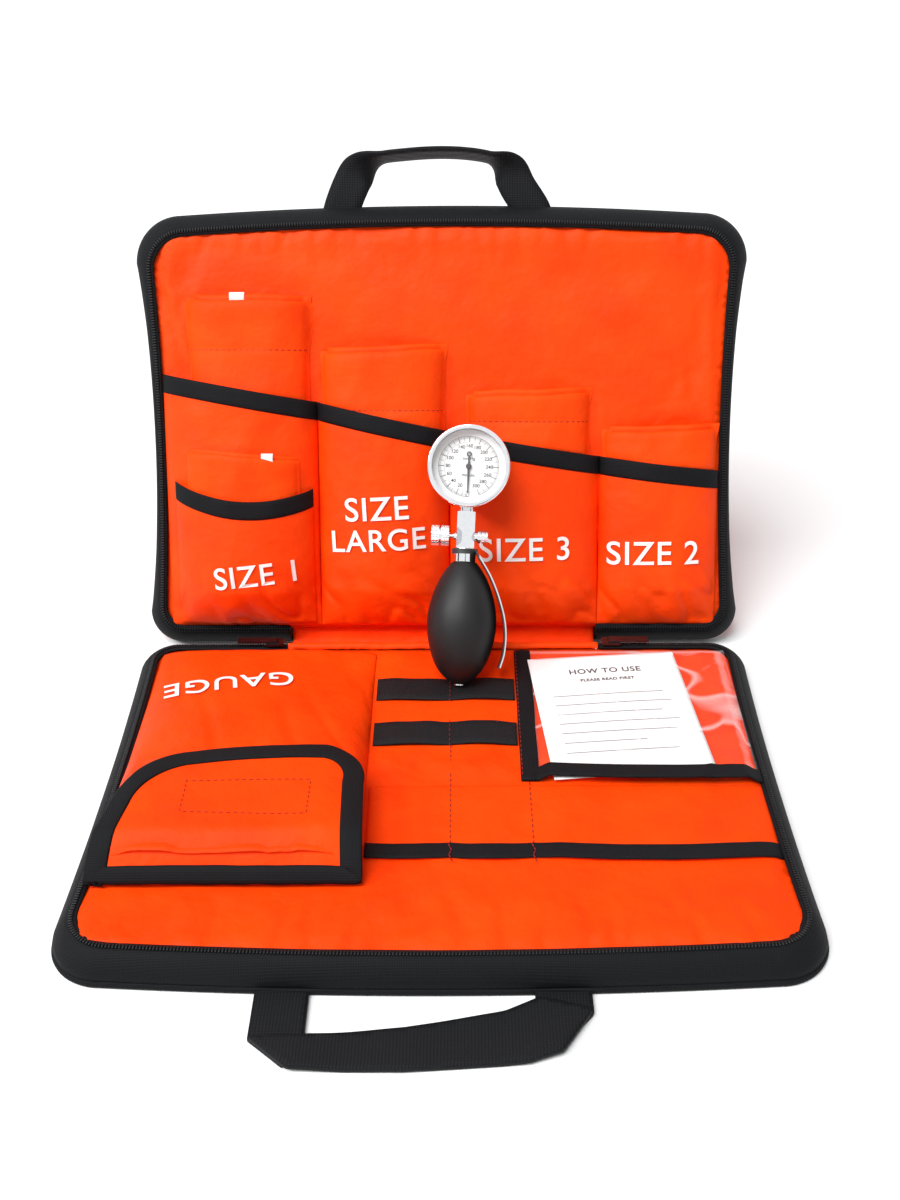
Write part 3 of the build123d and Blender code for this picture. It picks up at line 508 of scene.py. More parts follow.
foam = moulded("foam", (0.35, 0.34, 0.32), (0.5, 0.49, 0.46), 0.9, 900.0, 0.8, 0.2)
board = moulded("board", (0.3, 0.22, 0.14), (0.42, 0.32, 0.21), 0.8, 300.0, 0.4, 0.2)
coil_black = moulded("zip_coil", (0.002, 0.0022, 0.003), (0.006, 0.0065, 0.008), 0.4, 700.0, 0.1, 0.25)
bladder = moulded("bladder_rubber", (0.01, 0.01, 0.011), (0.025, 0.025, 0.027), 0.6, 500.0, 0.3)
bulb_rubber = moulded("bulb_rubber", (0.0035, 0.0036, 0.004), (0.007, 0.0072, 0.008), 0.48, 900.0, 0.25, 0.35)
chrome = metal("chrome", (0.86, 0.87, 0.89), 0.07)
zip_metal = metal("zip_metal", (0.08, 0.08, 0.085), 0.3)
steel = metal("steel", (0.6, 0.61, 0.62), 0.25, 0.1)
# the steel spoon's face is painted near-black: painted shade and painted reflection of the dark bulb
spoon = moulded("spoon_painted_dark_face", (0.012, 0.012, 0.013), (0.03, 0.03, 0.032), 0.42, 600.0, 0.4)
brass = metal("brass", (0.75, 0.55, 0.22), 0.2, 0.1)
dial_white = moulded("dial_white", (0.80, 0.80, 0.79), (0.9, 0.9, 0.9), 0.5, 400.0, 0.05, 0.3)
dial_ink = moulded("dial_ink", (0.01, 0.01, 0.012), (0.03, 0.03, 0.035), 0.5, 600.0, 0.1)
crystal = clear("crystal", (1, 1, 1), 0.03, 0.02, 0.0)
# its last number sets the strength of the painted highlight streaks
vinyl = clear("clear_vinyl", (1, 1, 1), 0.012, 0.03, 0.3, 0.22)

SLOT_MATERIALS = {
    "outer_nylon": lower_nylon,
    "lining_nylon": lower_nylon,
    "pocket_nylon": lower_nylon,
    "cuff_nylon": cuff_nylon,
    "black_binding": lower_tape,
    "gusset_tape": lower_tape,
    "elastic": elastic,
    "webbing": lower_web,
    "hook_and_loop": hook_loop,
    "foam": foam,
    "board": board,
    "zip_coil": coil_black,
    "zip_metal": zip_metal,
    "clear_vinyl": vinyl,
    "paper": paper,
    "bladder_rubber": bladder,
    "bulb_rubber": bulb_rubber,
    "chrome": chrome,
    "spoon_steel": spoon,
    "steel": steel,
    "brass": brass,
    "crystal": crystal,
    "dial_white": dial_white,
    "pointer_black": dial_ink,
}
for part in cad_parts.values():
    for place in part.material_slots:
        base = place.material.name.split(".")[0]
        if base not in SLOT_MATERIALS:
            raise SystemExit("no finish for slot " + base)
        place.material = SLOT_MATERIALS[base]


# ---- leaves ---------------------------------------------------------------------------------
def lower_top(x, s):
    """Height of the lower lining: quilted near its edge, puffed at the front, softly creased."""
    edge = np.minimum.reduce(
        [LEAF_W / 2 - LINING_INSET - np.abs(x), s - LINING_INSET, LEAF_D - LINING_INSET + 3 - s]
    )
    n = 14.6 + 1.7 * smooth(edge / 9)
    front = smooth((s - 205) / 28) * smooth((LEAF_D - 4 - s) / 14)
    n = n + front * (1.3 + 0.7 * ripple(x, s, 46, 120, seed=2.0))
    n = n + 0.7 * ripple(x, s, 34, 60, 24, 1.0) * smooth(edge / 14)
    n = n + 0.35 * ripple(x, s, 12, 34, -30, 1.5) * smooth(edge / 14)
    n = n - 1.6 * crease(x, s, 16, 70, 8, 3.5) * smooth((30 - edge) / 26) * smooth(edge / 4)
    return n


def upper_top(x, s):
    """Height of the upper lining, with drag lines running in from its corners."""
    edge = np.minimum.reduce(
        [LEAF_W / 2 - LINING_INSET - 3 - np.abs(x), s - LINING_INSET, LEAF_D - LINING_INSET + 3 - s]
    )
    n = 14.6 + 1.7 * smooth(edge / 9)
    n = n + 2.0 * ripple(x, s, 90, 36, -14, 5.0) * smooth(edge / 20)
    n = n + 1.0 * ripple(x, s, 30, 60, 30, 6.0) * smooth(edge / 20)
    n = n + 0.5 * ripple(x, s, 40, 14, -10, 6.5) * smooth(edge / 20)
    n = n - 1.6 * crease(x, s, 14, 60, 4, 7.5) * smooth((26 - edge) / 22) * smooth(edge / 4)
    return n


TOOTH_PITCH = 1.6
PAD_PITCH = 3.2
PANEL_PITCH = 5.0
SIM_FRAMES = 18
SWELL_CAP = {"lower": 3.0, "upper": 1.2}  # the cuffs slide close over the upper lining


def lower_free(x, s):
    """Where the lower lining is open to view, and so free to swell: 1, and 0 under other pieces."""
    strip = smooth((x - BAND_LEFT) / 8) * smooth((s - 110) / 6) * smooth((TUBE_START - 2 - s) / 6)
    front = smooth((s - FLAP_ROOT - 3) / 8)
    return np.maximum(strip, front)


def upper_free(x, s):
    """Where the upper lining is open to view: above the slanting mouths of the cuff pockets."""
    return smooth((s - mouth_at(x) - 4) / 14)


def swell(obj, place, share, cap):
    """Cloth simulation of a lining pad: pressed from inside and cut a little full, held at its rim
    and underside. Each point moves at most cap, and less where share(x, s) is under 1."""
    mesh = obj.data
    count = len(mesh.vertices)
    rest = np.zeros(count * 3)
    mesh.vertices.foreach_get("co", rest)
    rest = rest.reshape(-1, 3)
    flat = unplace(rest / MM, place)
    free = share(flat[:, 0], flat[:, 1])
    free[count // 2 :] = 0.0
    held = obj.vertex_groups.new(name="held")
    for k in np.nonzero(free < 0.02)[0]:
        held.add([int(k)], 1.0, "REPLACE")
    cloth = obj.modifiers.new("swell", "CLOTH")
    cloth.settings.quality = 5
    cloth.settings.mass = 0.12
    cloth.settings.tension_stiffness = 25
    cloth.settings.compression_stiffness = 25
    cloth.settings.shear_stiffness = 10
    cloth.settings.bending_stiffness = 0.05
    cloth.settings.shrink_min = -0.012
    cloth.settings.use_pressure = True
    cloth.settings.uniform_pressure_force = 1.5
    cloth.settings.vertex_group_mass = "held"
    cloth.settings.effector_weights.gravity = 0
    cloth.collision_settings.use_collision = False
    cloth.point_cache.frame_start = 1
    cloth.point_cache.frame_end = SIM_FRAMES
    scene = bpy.context.scene
    for at in range(1, SIM_FRAMES + 1):
        scene.frame_set(at)
    done = obj.evaluated_get(bpy.context.evaluated_depsgraph_get()).data
    moved = np.zeros(count * 3)
    done.vertices.foreach_get("co", moved)
    step = moved.reshape(-1, 3) - rest
    long = np.linalg.norm(step, axis=1, keepdims=True)
    step *= np.minimum(1.0, cap * MM / np.maximum(long, 1e-9)) * free[:, None]
    obj.modifiers.remove(cloth)
    obj.vertex_groups.remove(held)
    mesh.vertices.foreach_set("co", (rest + step).ravel())
    mesh.update()
    scene.frame_set(1)


def leaf(prefix, place, top, share, waists, body, nylon, tape):
    """Lining, outer panel, bound seam, gusset and zip of one leaf."""
    outline = rail(LINING_INSET, waists[1])
    points, faces = filled(outline, PAD_PITCH, place, top, BOARD_TOP + 0.2)
    lining = piece(
        prefix + "_quilted_lining", points, faces, nylon, body,
        [prefix + "_lining", prefix + "_foam_pad"],
    )
    swell(lining, place, share, SWELL_CAP[prefix])

    points, faces = filled(rail(2.6, waists[0]), PANEL_PITCH, place, lambda x, s: 1.25 + 0 * x, 0.5)
    count = len(points) // 2
    x, s = unplace(points[count:], place).T
    sag = 0.75 - 0.35 * ripple(x, s, 60, 60, 10, 9.0) * smooth((LEAF_W / 2 - 6 - np.abs(x)) / 20)
    points[count:] = place(x, s, 0.9 - sag)
    panel = piece(
        prefix + "_outer_cloth", points, faces, nylon, body, [prefix + "_outer_panel"]
    )

    # bound seam: a rounded bead of folded tape
    rows = []
    seam = (
        (2.9, 0.15), (1.2, 0.1), (0.2, 0.9), (0.0, 2.0),
        (0.3, 3.3), (1.4, 4.0), (2.9, 3.9), (3.1, 2.0),
    )
    for inset, n in seam:
        line = rail(inset, waists[0])
        rows.append(place(line[:, 0], line[:, 1], n + 0 * line[:, 0]))
    points, faces = swept(np.stack(rows, 1), closed_rows=True)
    piece(prefix + "_bound_seam", points, faces, tape, body, [prefix + "_edge_binding"])

    # gusset: tape wall that bows outwards and leans in to the zip
    wall = (
        (1.2, 3.6, 0.0), (0.9, 5.5, 0.1), (1.6, 8.0, 0.3), (3.2, 11.0, 0.55), (5.4, 14.0, 0.8),
        (7.6, 16.2, 0.95), (9.2, 17.0, 1.0), (12.2, 17.0, 1.0), (13.4, 16.6, 1.0), (13.2, 15.6, 1.0),
        (9.6, 15.4, 1.0), (7.2, 13.4, 0.8), (4.9, 10.2, 0.55), (3.2, 6.8, 0.3), (2.8, 3.8, 0.0),
    )
    rows = []
    for inset, n, rise in wall:
        line = rail(inset, waists[0] * (1 - rise) + waists[1] * rise, SPINE_HALF + 0.3)
        bow = 0.35 * ripple(line[:, 0], line[:, 1], 40, 40, 0, 11.0 + inset * 0.05)
        rows.append(place(line[:, 0], line[:, 1], n + bow))
    points, faces = swept(np.stack(rows, 1))
    piece(prefix + "_gusset_tape", points, faces, tape, body, [prefix + "_gusset"])

    # zip coil: one tooth after another on a cord
    line = rail(10.4, waists[1], SPINE_HALF + 0.5)
    even, ahead = spaced(line, TOOTH_PITCH)
    parts = []
    for (x, s), (dx, ds) in zip(even, ahead):
        side = np.array([-ds, dx])
        fore = np.array([dx, ds])
        loops = []
        for across, high, long in ((-1.2, 0.4, 0.3), (-0.9, 0.7, 0.42), (0.7, 0.72, 0.42), (1.2, 0.5, 0.5)):
            mid = np.array([x, s]) + side * across
            a = mid - fore * long
            b = mid + fore * long
            loops.append(
                place(
                    np.array([a[0], b[0], b[0], a[0]]),
                    np.array([a[1], b[1], b[1], a[1]]),
                    np.array([17.0, 17.0, 17.2 + high, 17.2 + high]),
                )
            )
        parts.append(swept(loops))
    points, faces = joined(parts)
    piece(prefix + "_zip_teeth", points, faces, coil_black, body, [prefix + "_zip_coil"])


def unplace(points, place):
    """Leaf coordinates (x, s) of points in the shared frame."""
    points = np.asarray(points)
    if place is on_lower:
        return np.stack([points[:, 0], BACK_Y - points[:, 1]], -1)
    s = (points[:, 1] - HINGE_Y) * LEAN_COS + points[:, 2] * LEAN_SIN
    return np.stack([points[:, 0], s], -1)


# ---- spine ----------------------------------------------------------------------------------
def spine():
    """Shell fabric over the hinge: the lower leaf's middle wall and the fold behind it."""
    profile = np.array(
        [(118.6, 16.0), (121.0, 18.3), (124.0, 17.4), (127.5, 12.5), (131.0, 7.0), (134.0, 4.2),
         (138.0, 2.8), (141.5, 3.6), (144.0, 7.0), (146.0, 11.5), (147.2, 13.5)]
    )
    line, _ = spaced(profile, 1.4)
    xs = np.linspace(-SPINE_HALF + 0.4, SPINE_HALF - 0.4, 90)
    grid = np.zeros((len(line), len(xs), 3))
    for i, (y, z) in enumerate(line):
        sway = 0.7 * ripple(xs, np.full(len(xs), i * 1.4), 26, 14, 0, 21.0)
        pucker = 0.5 * crease(xs, np.full(len(xs), i * 1.4), 9, 18, 12, 22.0)
        grid[i] = np.stack([xs, y + 0.4 * sway, np.maximum(z + sway - pucker, 0.9)], -1)
    points, faces = sheet_solid(grid[:, ::-1], 0.9)
    obj = piece("spine_cloth", points, faces, lower_nylon)
    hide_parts("spine_panel")
    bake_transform(obj)


spine()


# ---- lower leaf: gauge pocket and flap --------------------------------------------------------
POCKET_LEFT = -169.5
POCKET_RIGHT = -40.0
POCKET_START = 19.0
POCKET_MOUTH = 205.0


def gauge_pocket_left(s):
    return POCKET_LEFT - 3.5 * smooth((s - 120) / 80)


def gauge_pocket_top(x, s):
    """Height of the gauge pocket: it swells towards its mouth and rolls down at its sides."""
    left = gauge_pocket_left(s)
    u = np.clip((x - left) / (POCKET_RIGHT - left), 0, 1)
    side = (1 - np.abs(2 * u - 1) ** 5) ** 0.55
    full = 4.0 + 15.0 * smooth((s - 10) / 150) ** 0.9
    sag = -1.5 * smooth((s - 175) / 30) * np.sin(np.pi * u) ** 2
    calm = 1 - 0.75 * smooth((s - 115) / 30)  # the flap presses this part smooth
    n = 16.4 + side * (full + sag)
    n = n + calm * side * (1.5 * ripple(x, s, 40, 90, -12, 31.0) + 0.7 * ripple(x, s, 14, 46, -25, 32.0))
    return n - 1.8 * side * crease(x, s, 22, 100, -18, 33.0) * smooth((s - 40) / 60)


def gauge_pocket():
    ss = np.linspace(POCKET_START, POCKET_MOUTH, 76)
    us = bunched(66)
    s, u = np.meshgrid(ss, us, indexing="ij")
    left = gauge_pocket_left(s)
    x = left + (POCKET_RIGHT - left) * u
    grid = on_lower(x, s + 1.5 * np.sin(np.pi * u) * smooth((s - 190) / 15), gauge_pocket_top(x, s))
    points, faces = sheet_solid(grid[::-1, ::-1], 1.0)
    obj = piece(
        "gauge_pocket_cloth", points, faces, lower_nylon, "case_base",
        ["gauge_pocket"],
    )


gauge_pocket()

FLAP_LEFT = -172.0
FLAP_RIGHT = -38.0
FLAP_TIP = 132.0
FLAP_ROOT = 214.0
FLAP_DROOP = 194.0  # where the flap starts to fall to its seam


def flap_edge(t):
    """Plan outline of the flap for t from 0 to 1: left root, left side, free end, right side."""
    left = np.array([FLAP_LEFT, FLAP_ROOT])
    knee = np.array([FLAP_LEFT + 7, 176.0])
    tip_left = np.array([FLAP_LEFT + 38, FLAP_TIP + 6])
    tip_right = np.array([FLAP_RIGHT - 22, FLAP_TIP])
    right = np.array([FLAP_RIGHT - 2, 160.0])
    root = np.array([FLAP_RIGHT, FLAP_ROOT])
    path = np.concatenate(
        [
            arc(left, (left + knee) / 2, knee, 12),
            arc(knee, (FLAP_LEFT + 17, 152.0), tip_left, 14),
            arc(tip_left, ((tip_left + tip_right) / 2) + (0, -1.5), tip_right, 24),
            arc(tip_right, (FLAP_RIGHT - 7, 141.0), right, 14),
            arc(right, (right + root) / 2, root, 12),
            [root],
        ]
    )
    line, _ = spaced(path, 2.0)
    at = np.linspace(0, 1, len(line))
    return np.stack([np.interp(t, at, line[:, k]) for k in (0, 1)], -1)


def flap_height(x, s):
    """The flap lies on the full pocket and drops in front of its mouth to the seam."""
    over = np.interp(s, (FLAP_TIP, 152.0, 200.0), (37.4, 38.6, 38.8))
    over = over + 0.8 * ripple(x, s, 30, 46, 40, 41.0) + 0.5 * ripple(x, s, 16, 60, 62, 42.0)
    droop = np.clip((s - FLAP_DROOP) / (FLAP_ROOT + 1 - FLAP_DROOP), 0, 1) ** 1.5
    side = 2.6 * smooth((np.abs(x - (FLAP_LEFT + FLAP_RIGHT) / 2) - 44) / 24)
    return over * (1 - droop) + droop * 18.6 - side * (1 - droop)


def flap():
    ts = np.linspace(0, 1, 130)
    edge = flap_edge(ts)
    middle = np.stack([np.linspace(FLAP_LEFT, FLAP_RIGHT, len(ts)), np.full(len(ts), FLAP_ROOT)], -1)
    outline = np.concatenate([edge, middle[::-1][1:-1]])
    points, faces = filled(outline, 3.0, on_lower, flap_height, 0.0)
    count = len(points) // 2
    # the flap's underside is its top moved down by the cloth's thickness
    points[count:] = points[:count] - np.array([0, 0, 1.3])
    cloth = piece("flap_cloth", points, faces, lower_nylon, "pocket_flap", ["flap_panel"])

    closed = np.concatenate([edge, middle[::-1]])
    line, ahead = spaced(closed, 2.4)
    inward = np.stack([ahead[:, 1], -ahead[:, 0]], -1)
    centre = line.mean(0)
    inward *= np.sign(((centre - line) * inward).sum(1))[:, None]
    rows = []
    section = (
        (0.3, -1.3), (-0.9, -0.2), (-0.6, 0.9), (0.4, 1.25), (5.0, 0.95), (9.0, 0.85), (10.0, 0.2),
    )
    for inset, lift in section:
        steep = smooth((line[:, 1] - FLAP_ROOT + 3) / 3) * np.abs(inward[:, 1])
        at = line + inward * (inset * (1 - 0.5 * steep))[:, None]
        at[:, 1] = np.minimum(at[:, 1], FLAP_ROOT + 1.4)
        sway = 0.25 * ripple(at[:, 0], at[:, 1], 12, 12, 0, 45.0)
        rows.append(on_lower(at[:, 0], at[:, 1], flap_height(at[:, 0], at[:, 1]) + lift + sway))
    points, faces = swept(np.stack(rows, 1), closed_rows=True)
    piece("flap_bound_edge", points, faces, lower_tape, "pocket_flap", ["flap_binding"])

    b, a = np.meshgrid(np.linspace(163, 183, 14), np.linspace(-127, -69, 34), indexing="ij")
    patches = (
        ("flap_hook_patch", "hook_patch", "pocket_flap", flap_height(a, b) - 1.5),
        ("pocket_loop_patch", "loop_patch", "case_base", gauge_pocket_top(a, b) + 0.7),
    )
    for name, node, body, height in patches:
        points, faces = sheet_solid(on_lower(a, b, height), 0.6)
        piece(name, points, faces, hook_loop, body, [node])

    box = [(-129, 161), (-129, 184), (-66, 186), (-66, 160), (-129, 161)]
    points, normals = stitched_path(on_lower, flap_height, box, 0.35)
    points, faces = thread(points, normals, 0.4, 0.3, 2.2, 1.4)
    piece("flap_stitching", points, faces, red_thread, "pocket_flap")


def stitched_path(place, height, corners, lift):
    """A dense line through corners on a surface, with normals."""
    corners = np.array(corners, float)
    line, _ = spaced(corners, 1.3)
    return surface_line(place, height, line[:, 0], line[:, 1], lift)


def stitch_row(name, place, height, corners, body, slot, material=red_thread, lift=0.3, **sizes):
    points, faces = thread(*stitched_path(place, height, corners, lift), **sizes)
    return piece(name, points, faces, material, body)


flap()


# ---- lower leaf: bands, tube pocket, clear pocket ---------------------------------------------
def ribbon(height_of, xs, along_of, width, thickness, place, over=0.0):
    """Flat tape across a leaf: a rounded section carried along xs."""
    xs = np.asarray(xs, float)
    rows = []
    half = width / 2
    section = [(-half, 0.15), (-half - over, 0.55), (-half + 0.5, 1.0), (half - 0.5, 1.0)]
    section += [(half + over, 0.55), (half, 0.15), (half - 0.8, 0.0), (-half + 0.8, 0.0)]
    dense = []
    for (a, ha), (b, hb) in zip(section, section[1:] + section[:1]):
        for t in np.linspace(0, 1, 4 if abs(b - a) > 3 else 1, endpoint=False):
            dense.append((a + (b - a) * t, ha + (hb - ha) * t))
    for off, share in dense:
        s = along_of(xs) + off
        rows.append(place(xs, s, height_of(xs, s) + share * thickness))
    return swept(np.stack(rows, 1))


BAND_LEFT = -38.0
BAND_RIGHT = 42.0
BAND_SEAM = 4.5


def instrument_bands():
    xs = np.linspace(BAND_LEFT, BAND_RIGHT, 54)
    parts = []
    for middle, seed in ((55.5, 51.0), (96.5, 52.0)):

        def height(x, s, seed=seed):
            held = np.minimum.reduce([np.abs(x - BAND_SEAM), x - BAND_LEFT + 1, BAND_RIGHT + 1 - x])
            lift = 0.15 + 1.0 * smooth(held / 14) * (1 + 0.5 * ripple(x, s, 20, 30, 0, seed))
            return lower_top(x, s) + lift

        along = lambda x, middle=middle, seed=seed: middle + 0.7 * ripple(x, x * 0, 40, 1, 0, seed)
        parts.append(ribbon(height, xs, along, 20.0, 1.2, on_lower))
    points, faces = joined(parts)
    piece("elastic_bands", points, faces, elastic, "case_base", ["instrument_bands"])
    for k, (a, b) in enumerate(((45, 66), (86, 107))):
        stitch_row(
            f"band_stitching_{k + 1}", on_lower, lambda x, s: lower_top(x, s) + 1.4,
            [(BAND_SEAM, a), (BAND_SEAM, b)], "case_base", "elastic", width=0.45,
        )
    stitch_row(
        "lining_stitching", on_lower, lower_top, [(BAND_SEAM, 20), (BAND_SEAM, 44)],
        "case_base", "lining_nylon",
    )


instrument_bands()

TUBE_LEFT = -38.0
TUBE_RIGHT = 171.0
TUBE_START = 138.0
TUBE_MOUTH = 197.0
TUBE_SEAMS = (5.0, 47.0)


def tube_mouth(x):
    """The mouth sags a little between its seams."""
    gaps = np.concatenate([[TUBE_LEFT], TUBE_SEAMS, [TUBE_RIGHT]])
    sag = 0 * x
    for a, b in zip(gaps, gaps[1:]):
        t = np.clip((x - a) / (b - a), 0, 1)
        sag = sag + (1.0 + 0.012 * (b - a)) * np.sin(np.pi * t)
    return TUBE_MOUTH - 3.5 + sag


def tube_height(x, s):
    """The pocket's sheet: held down at its seams, a little loose between them."""
    held = np.minimum.reduce(
        [np.abs(x - seam) for seam in TUBE_SEAMS] + [x - TUBE_LEFT, TUBE_RIGHT - x, s - TUBE_START]
    )
    loose = 0.6 + 1.0 * smooth(held / 22) * (1 + 0.5 * ripple(x, s, 40, 60, 0, 61.0))
    n = lower_top(x, s) + loose + 0.4 * ripple(x, s, 16, 60, 4, 62.0) * smooth(held / 10)
    return np.where(n > 17.6, 17.6 + 0.25 * (n - 17.6), n)


def tube_pocket():
    xs = np.linspace(TUBE_LEFT, TUBE_RIGHT, 120)
    ts = np.linspace(0, 1, 34)
    t, x = np.meshgrid(ts, xs, indexing="ij")
    s = TUBE_START + (tube_mouth(x) - TUBE_START) * t
    n = tube_height(x, s) - 0.9 * (1 - smooth(t / 0.05))
    points, faces = sheet_solid(on_lower(x, s, n)[::-1, ::-1], 0.8)
    cloth = piece(
        "tube_pocket_cloth", points, faces, lower_nylon, "case_base",
        ["tube_pocket"],
    )
    tape = ribbon(
        lambda x, s: tube_height(x, s) - 0.3, xs, lambda x: tube_mouth(x) - 4.6, 10.0, 1.3, on_lower, 0.4
    )
    window = clear_pocket_bindings()
    points, faces = joined([tape, *window])
    piece(
        "lower_mouth_bindings", points, faces, lower_tape, "case_base",
        ["lower_pocket_bindings"],
    )
    for k, seam in enumerate(TUBE_SEAMS):
        stitch_row(
            f"tube_seam_{k + 1}", on_lower, tube_height, [(seam, 108 if k == 0 else 139), (seam, 187)],
            "case_base", "pocket_nylon",
        )
        stitch_row(
            f"tube_bar_tack_{k + 1}", on_lower, lambda x, s: tube_height(x, s) + 1.1,
            [(seam - 0.6, 186.5), (seam + 0.6, 190), (seam - 0.6, 193.5), (seam + 0.6, 197)],
            "case_base", "pocket_nylon", width=0.7, gap=0.5,
        )


WINDOW_LEFT = 52.0
WINDOW_RIGHT = 170.0
WINDOW_START = 17.0
WINDOW_MOUTH = 137.0


def window_mouth(x):
    return WINDOW_MOUTH - 1.2 + 2.0 * np.sin(np.pi * np.clip((x - 43) / 128, 0, 1)) + 0.02 * (x - 43)


def window_height(x, s):
    """Clear sheet over the leaflet: it lifts at the right, where it isn't backed, and wrinkles."""
    held = np.minimum.reduce([x - 50, WINDOW_RIGHT - x, s - WINDOW_START])
    lift = 4.4 * smooth(held / 9)
    free = smooth((x - 128) / 24) * smooth(held / 12)
    n = 17.2 + lift + 0.25 * ripple(x, s, 30, 40, 0, 71.0) * smooth(held / 14)
    n = n + free * (1.5 * crease(x, s, 26, 70, 24, 72.0) + 0.9 * ripple(x, s, 12, 50, 20, 73.0))
    return n


def clear_pocket_bindings():
    """Tape down the left of the clear pocket and along its mouth."""
    ss = np.linspace(WINDOW_START, WINDOW_MOUTH, 60)
    rows = []
    section = (
        (-4.7, 0.1), (-4.9, 0.7), (-4.2, 1.5), (0, 1.7), (4.2, 1.7), (4.9, 1.1), (4.7, 0.3), (0, 0.0),
    )
    for off, lift in section:
        x = 47.7 + off + 0.4 * ripple(ss, ss, 40, 40, 0, 74.0)
        under = lower_top(x, ss)
        raised = under + lift + 0.6
        if off > 3:
            raised = np.maximum(under + lift, window_height(x, ss) + lift - 1.0)
        rows.append(on_lower(x, ss, raised))
    left = swept(np.stack(rows, 1))
    xs = np.linspace(43.5, 170.5, 84)
    mouth = ribbon(
        lambda x, s: np.maximum(window_height(x, s), lower_top(x, s) + 0.5) - 0.5,
        xs, lambda x: window_mouth(x) - 4.6, 10.0, 1.5, on_lower, 0.4,
    )
    return [left, mouth]


tube_pocket()


def clear_window():
    xs = np.linspace(WINDOW_LEFT, WINDOW_RIGHT, 92)
    ts = np.linspace(0, 1, 86)
    t, x = np.meshgrid(ts, xs, indexing="ij")
    s = WINDOW_START + (window_mouth(x) - 6 - WINDOW_START) * t
    points, faces = sheet_solid(on_lower(x, s, window_height(x, s))[::-1, ::-1], 0.35)
    obj = piece("clear_window", points, faces, vinyl, "case_base", ["clear_pocket_window"])
    stitch_row(
        "window_side_stitching", on_lower, lambda x, s: lower_top(x, s) + 2.0,
        [(43.8, 20), (43.6, 132)], "case_base", "black_binding",
    )


clear_window()

LEAFLET_TURN = math.radians(5.0)
LEAFLET_CENTRE = (99.0, 77.0)


def leaflet_at(a, b):
    """Leaf coordinates of a point on the leaflet, given across and down its own page."""
    c = math.cos(LEAFLET_TURN)
    d = math.sin(LEAFLET_TURN)
    return LEAFLET_CENTRE[0] + a * c + b * d, LEAFLET_CENTRE[1] + b * c - a * d


def leaflet_height(x, s):
    bow = 0.5 * np.sin((x - 55) / 95 * np.pi) + 0.15 * ripple(x, s, 40, 40, 0, 75.0)
    return 19.5 + np.minimum(bow, 0.9) * smooth((s - 18) / 20)


def letters(text, size, bold=0.0, spacing=1.0):
    """Flat outline mesh of a word, centred, in millimetres: points (x, y) and faces."""
    curve = bpy.data.curves.new("word", "FONT")
    curve.body = text
    curve.size = size
    curve.offset = bold
    curve.space_character = spacing
    curve.align_x = "CENTER"
    curve.align_y = "CENTER"
    curve.resolution_u = 6
    obj = bpy.data.objects.new("word", curve)
    bpy.context.scene.collection.objects.link(obj)
    bpy.context.view_layer.update()
    mesh = bpy.data.meshes.new_from_object(obj.evaluated_get(bpy.context.evaluated_depsgraph_get()))
    points = np.array([v.co[:2] for v in mesh.vertices], float).reshape(-1, 2)
    faces = [list(p.vertices) for p in mesh.polygons]
    bpy.data.objects.remove(obj)
    bpy.data.meshes.remove(mesh)
    return points, faces


def raised_print(points, faces, put, thickness):
    """Print with a body: the word's faces above, the same below, and sides between them."""
    top = put(points[:, 0], points[:, 1], thickness)
    under = put(points[:, 0], points[:, 1], -0.05)
    count = len(points)
    edges = {}
    for f in faces:
        for a, b in zip(f, f[1:] + f[:1]):
            edges[(a, b)] = 1
    made = [tuple(f) for f in faces] + [tuple(v + count for v in reversed(f)) for f in faces]
    made += [(b, a, a + count, b + count) for a, b in edges if (b, a) not in edges]
    return np.concatenate([top, under]), made


def label(name, text, size, centre, turn, place, height, body, bold=0.16, flip=False):
    """A printed size word on a pocket, following the pocket's surface."""
    c = math.cos(math.radians(turn))
    d = math.sin(math.radians(turn))
    sign = -1 if flip else 1
    points, faces = letters(text, size, bold, 1.08)

    def put(a, b, lift):
        x = centre[0] + a * c - b * d
        s = centre[1] + sign * (a * d + b * c)
        return place(x, s, height(x, s) + 0.9 + lift)

    points, faces = raised_print(points, faces, put, 0.25)
    return piece(name, points, faces, white_print, body, flat=True)


def leaflet():
    b, a = np.meshgrid(np.linspace(-52, 58, 50), np.linspace(-44, 44, 40), indexing="ij")
    x, s = leaflet_at(a, b)
    points, faces = sheet_solid(on_lower(x, s, leaflet_height(x, s))[::-1, ::-1], 0.35)
    obj = piece(
        "instruction_leaflet_paper", points, faces, paper, "leaflet",
        ["instruction_leaflet"],
    )

    def put(a, b, lift):
        x, s = leaflet_at(a, b)
        return on_lower(x, s, leaflet_height(x, s) + 0.02 + lift)

    parts = []
    for text, size, at in (("HOW TO USE", 6.4, -36.0), ("PLEASE READ FIRST", 3.4, -27.5)):
        points, faces = letters(text, size, 0.12, 1.1)
        parts.append(
            raised_print(points, faces, lambda a, b, lift, at=at: put(a, at - b, lift), 0.08)
        )
    points, faces = joined(parts)
    piece("leaflet_heading", points, faces, ink, "leaflet", flat=True)
    parts = []
    for k, end in enumerate((30.0, 33.0, 26.0, 34.0, 31.0, 12.0, 28.0)):
        at = -14.0 + k * 8.5
        a, b = np.meshgrid(np.linspace(-34.0, end, 20), [at, at + 0.8], indexing="ij")
        low = put(a, b, -0.02)
        high = put(a, b, 0.06)
        ring = np.stack([low[:, 0], low[:, 1], high[:, 1], high[:, 0]], 1)
        parts.append(swept(ring))
    points, faces = joined(parts)
    piece("leaflet_lines", points, faces, grey_ink, "leaflet", flat=True)


leaflet()
label(
    "gauge_pocket_label", "GAUGE", 21.5, (-123.0, 60.0), 190.0, on_lower, gauge_pocket_top,
    "case_base", flip=True,
)


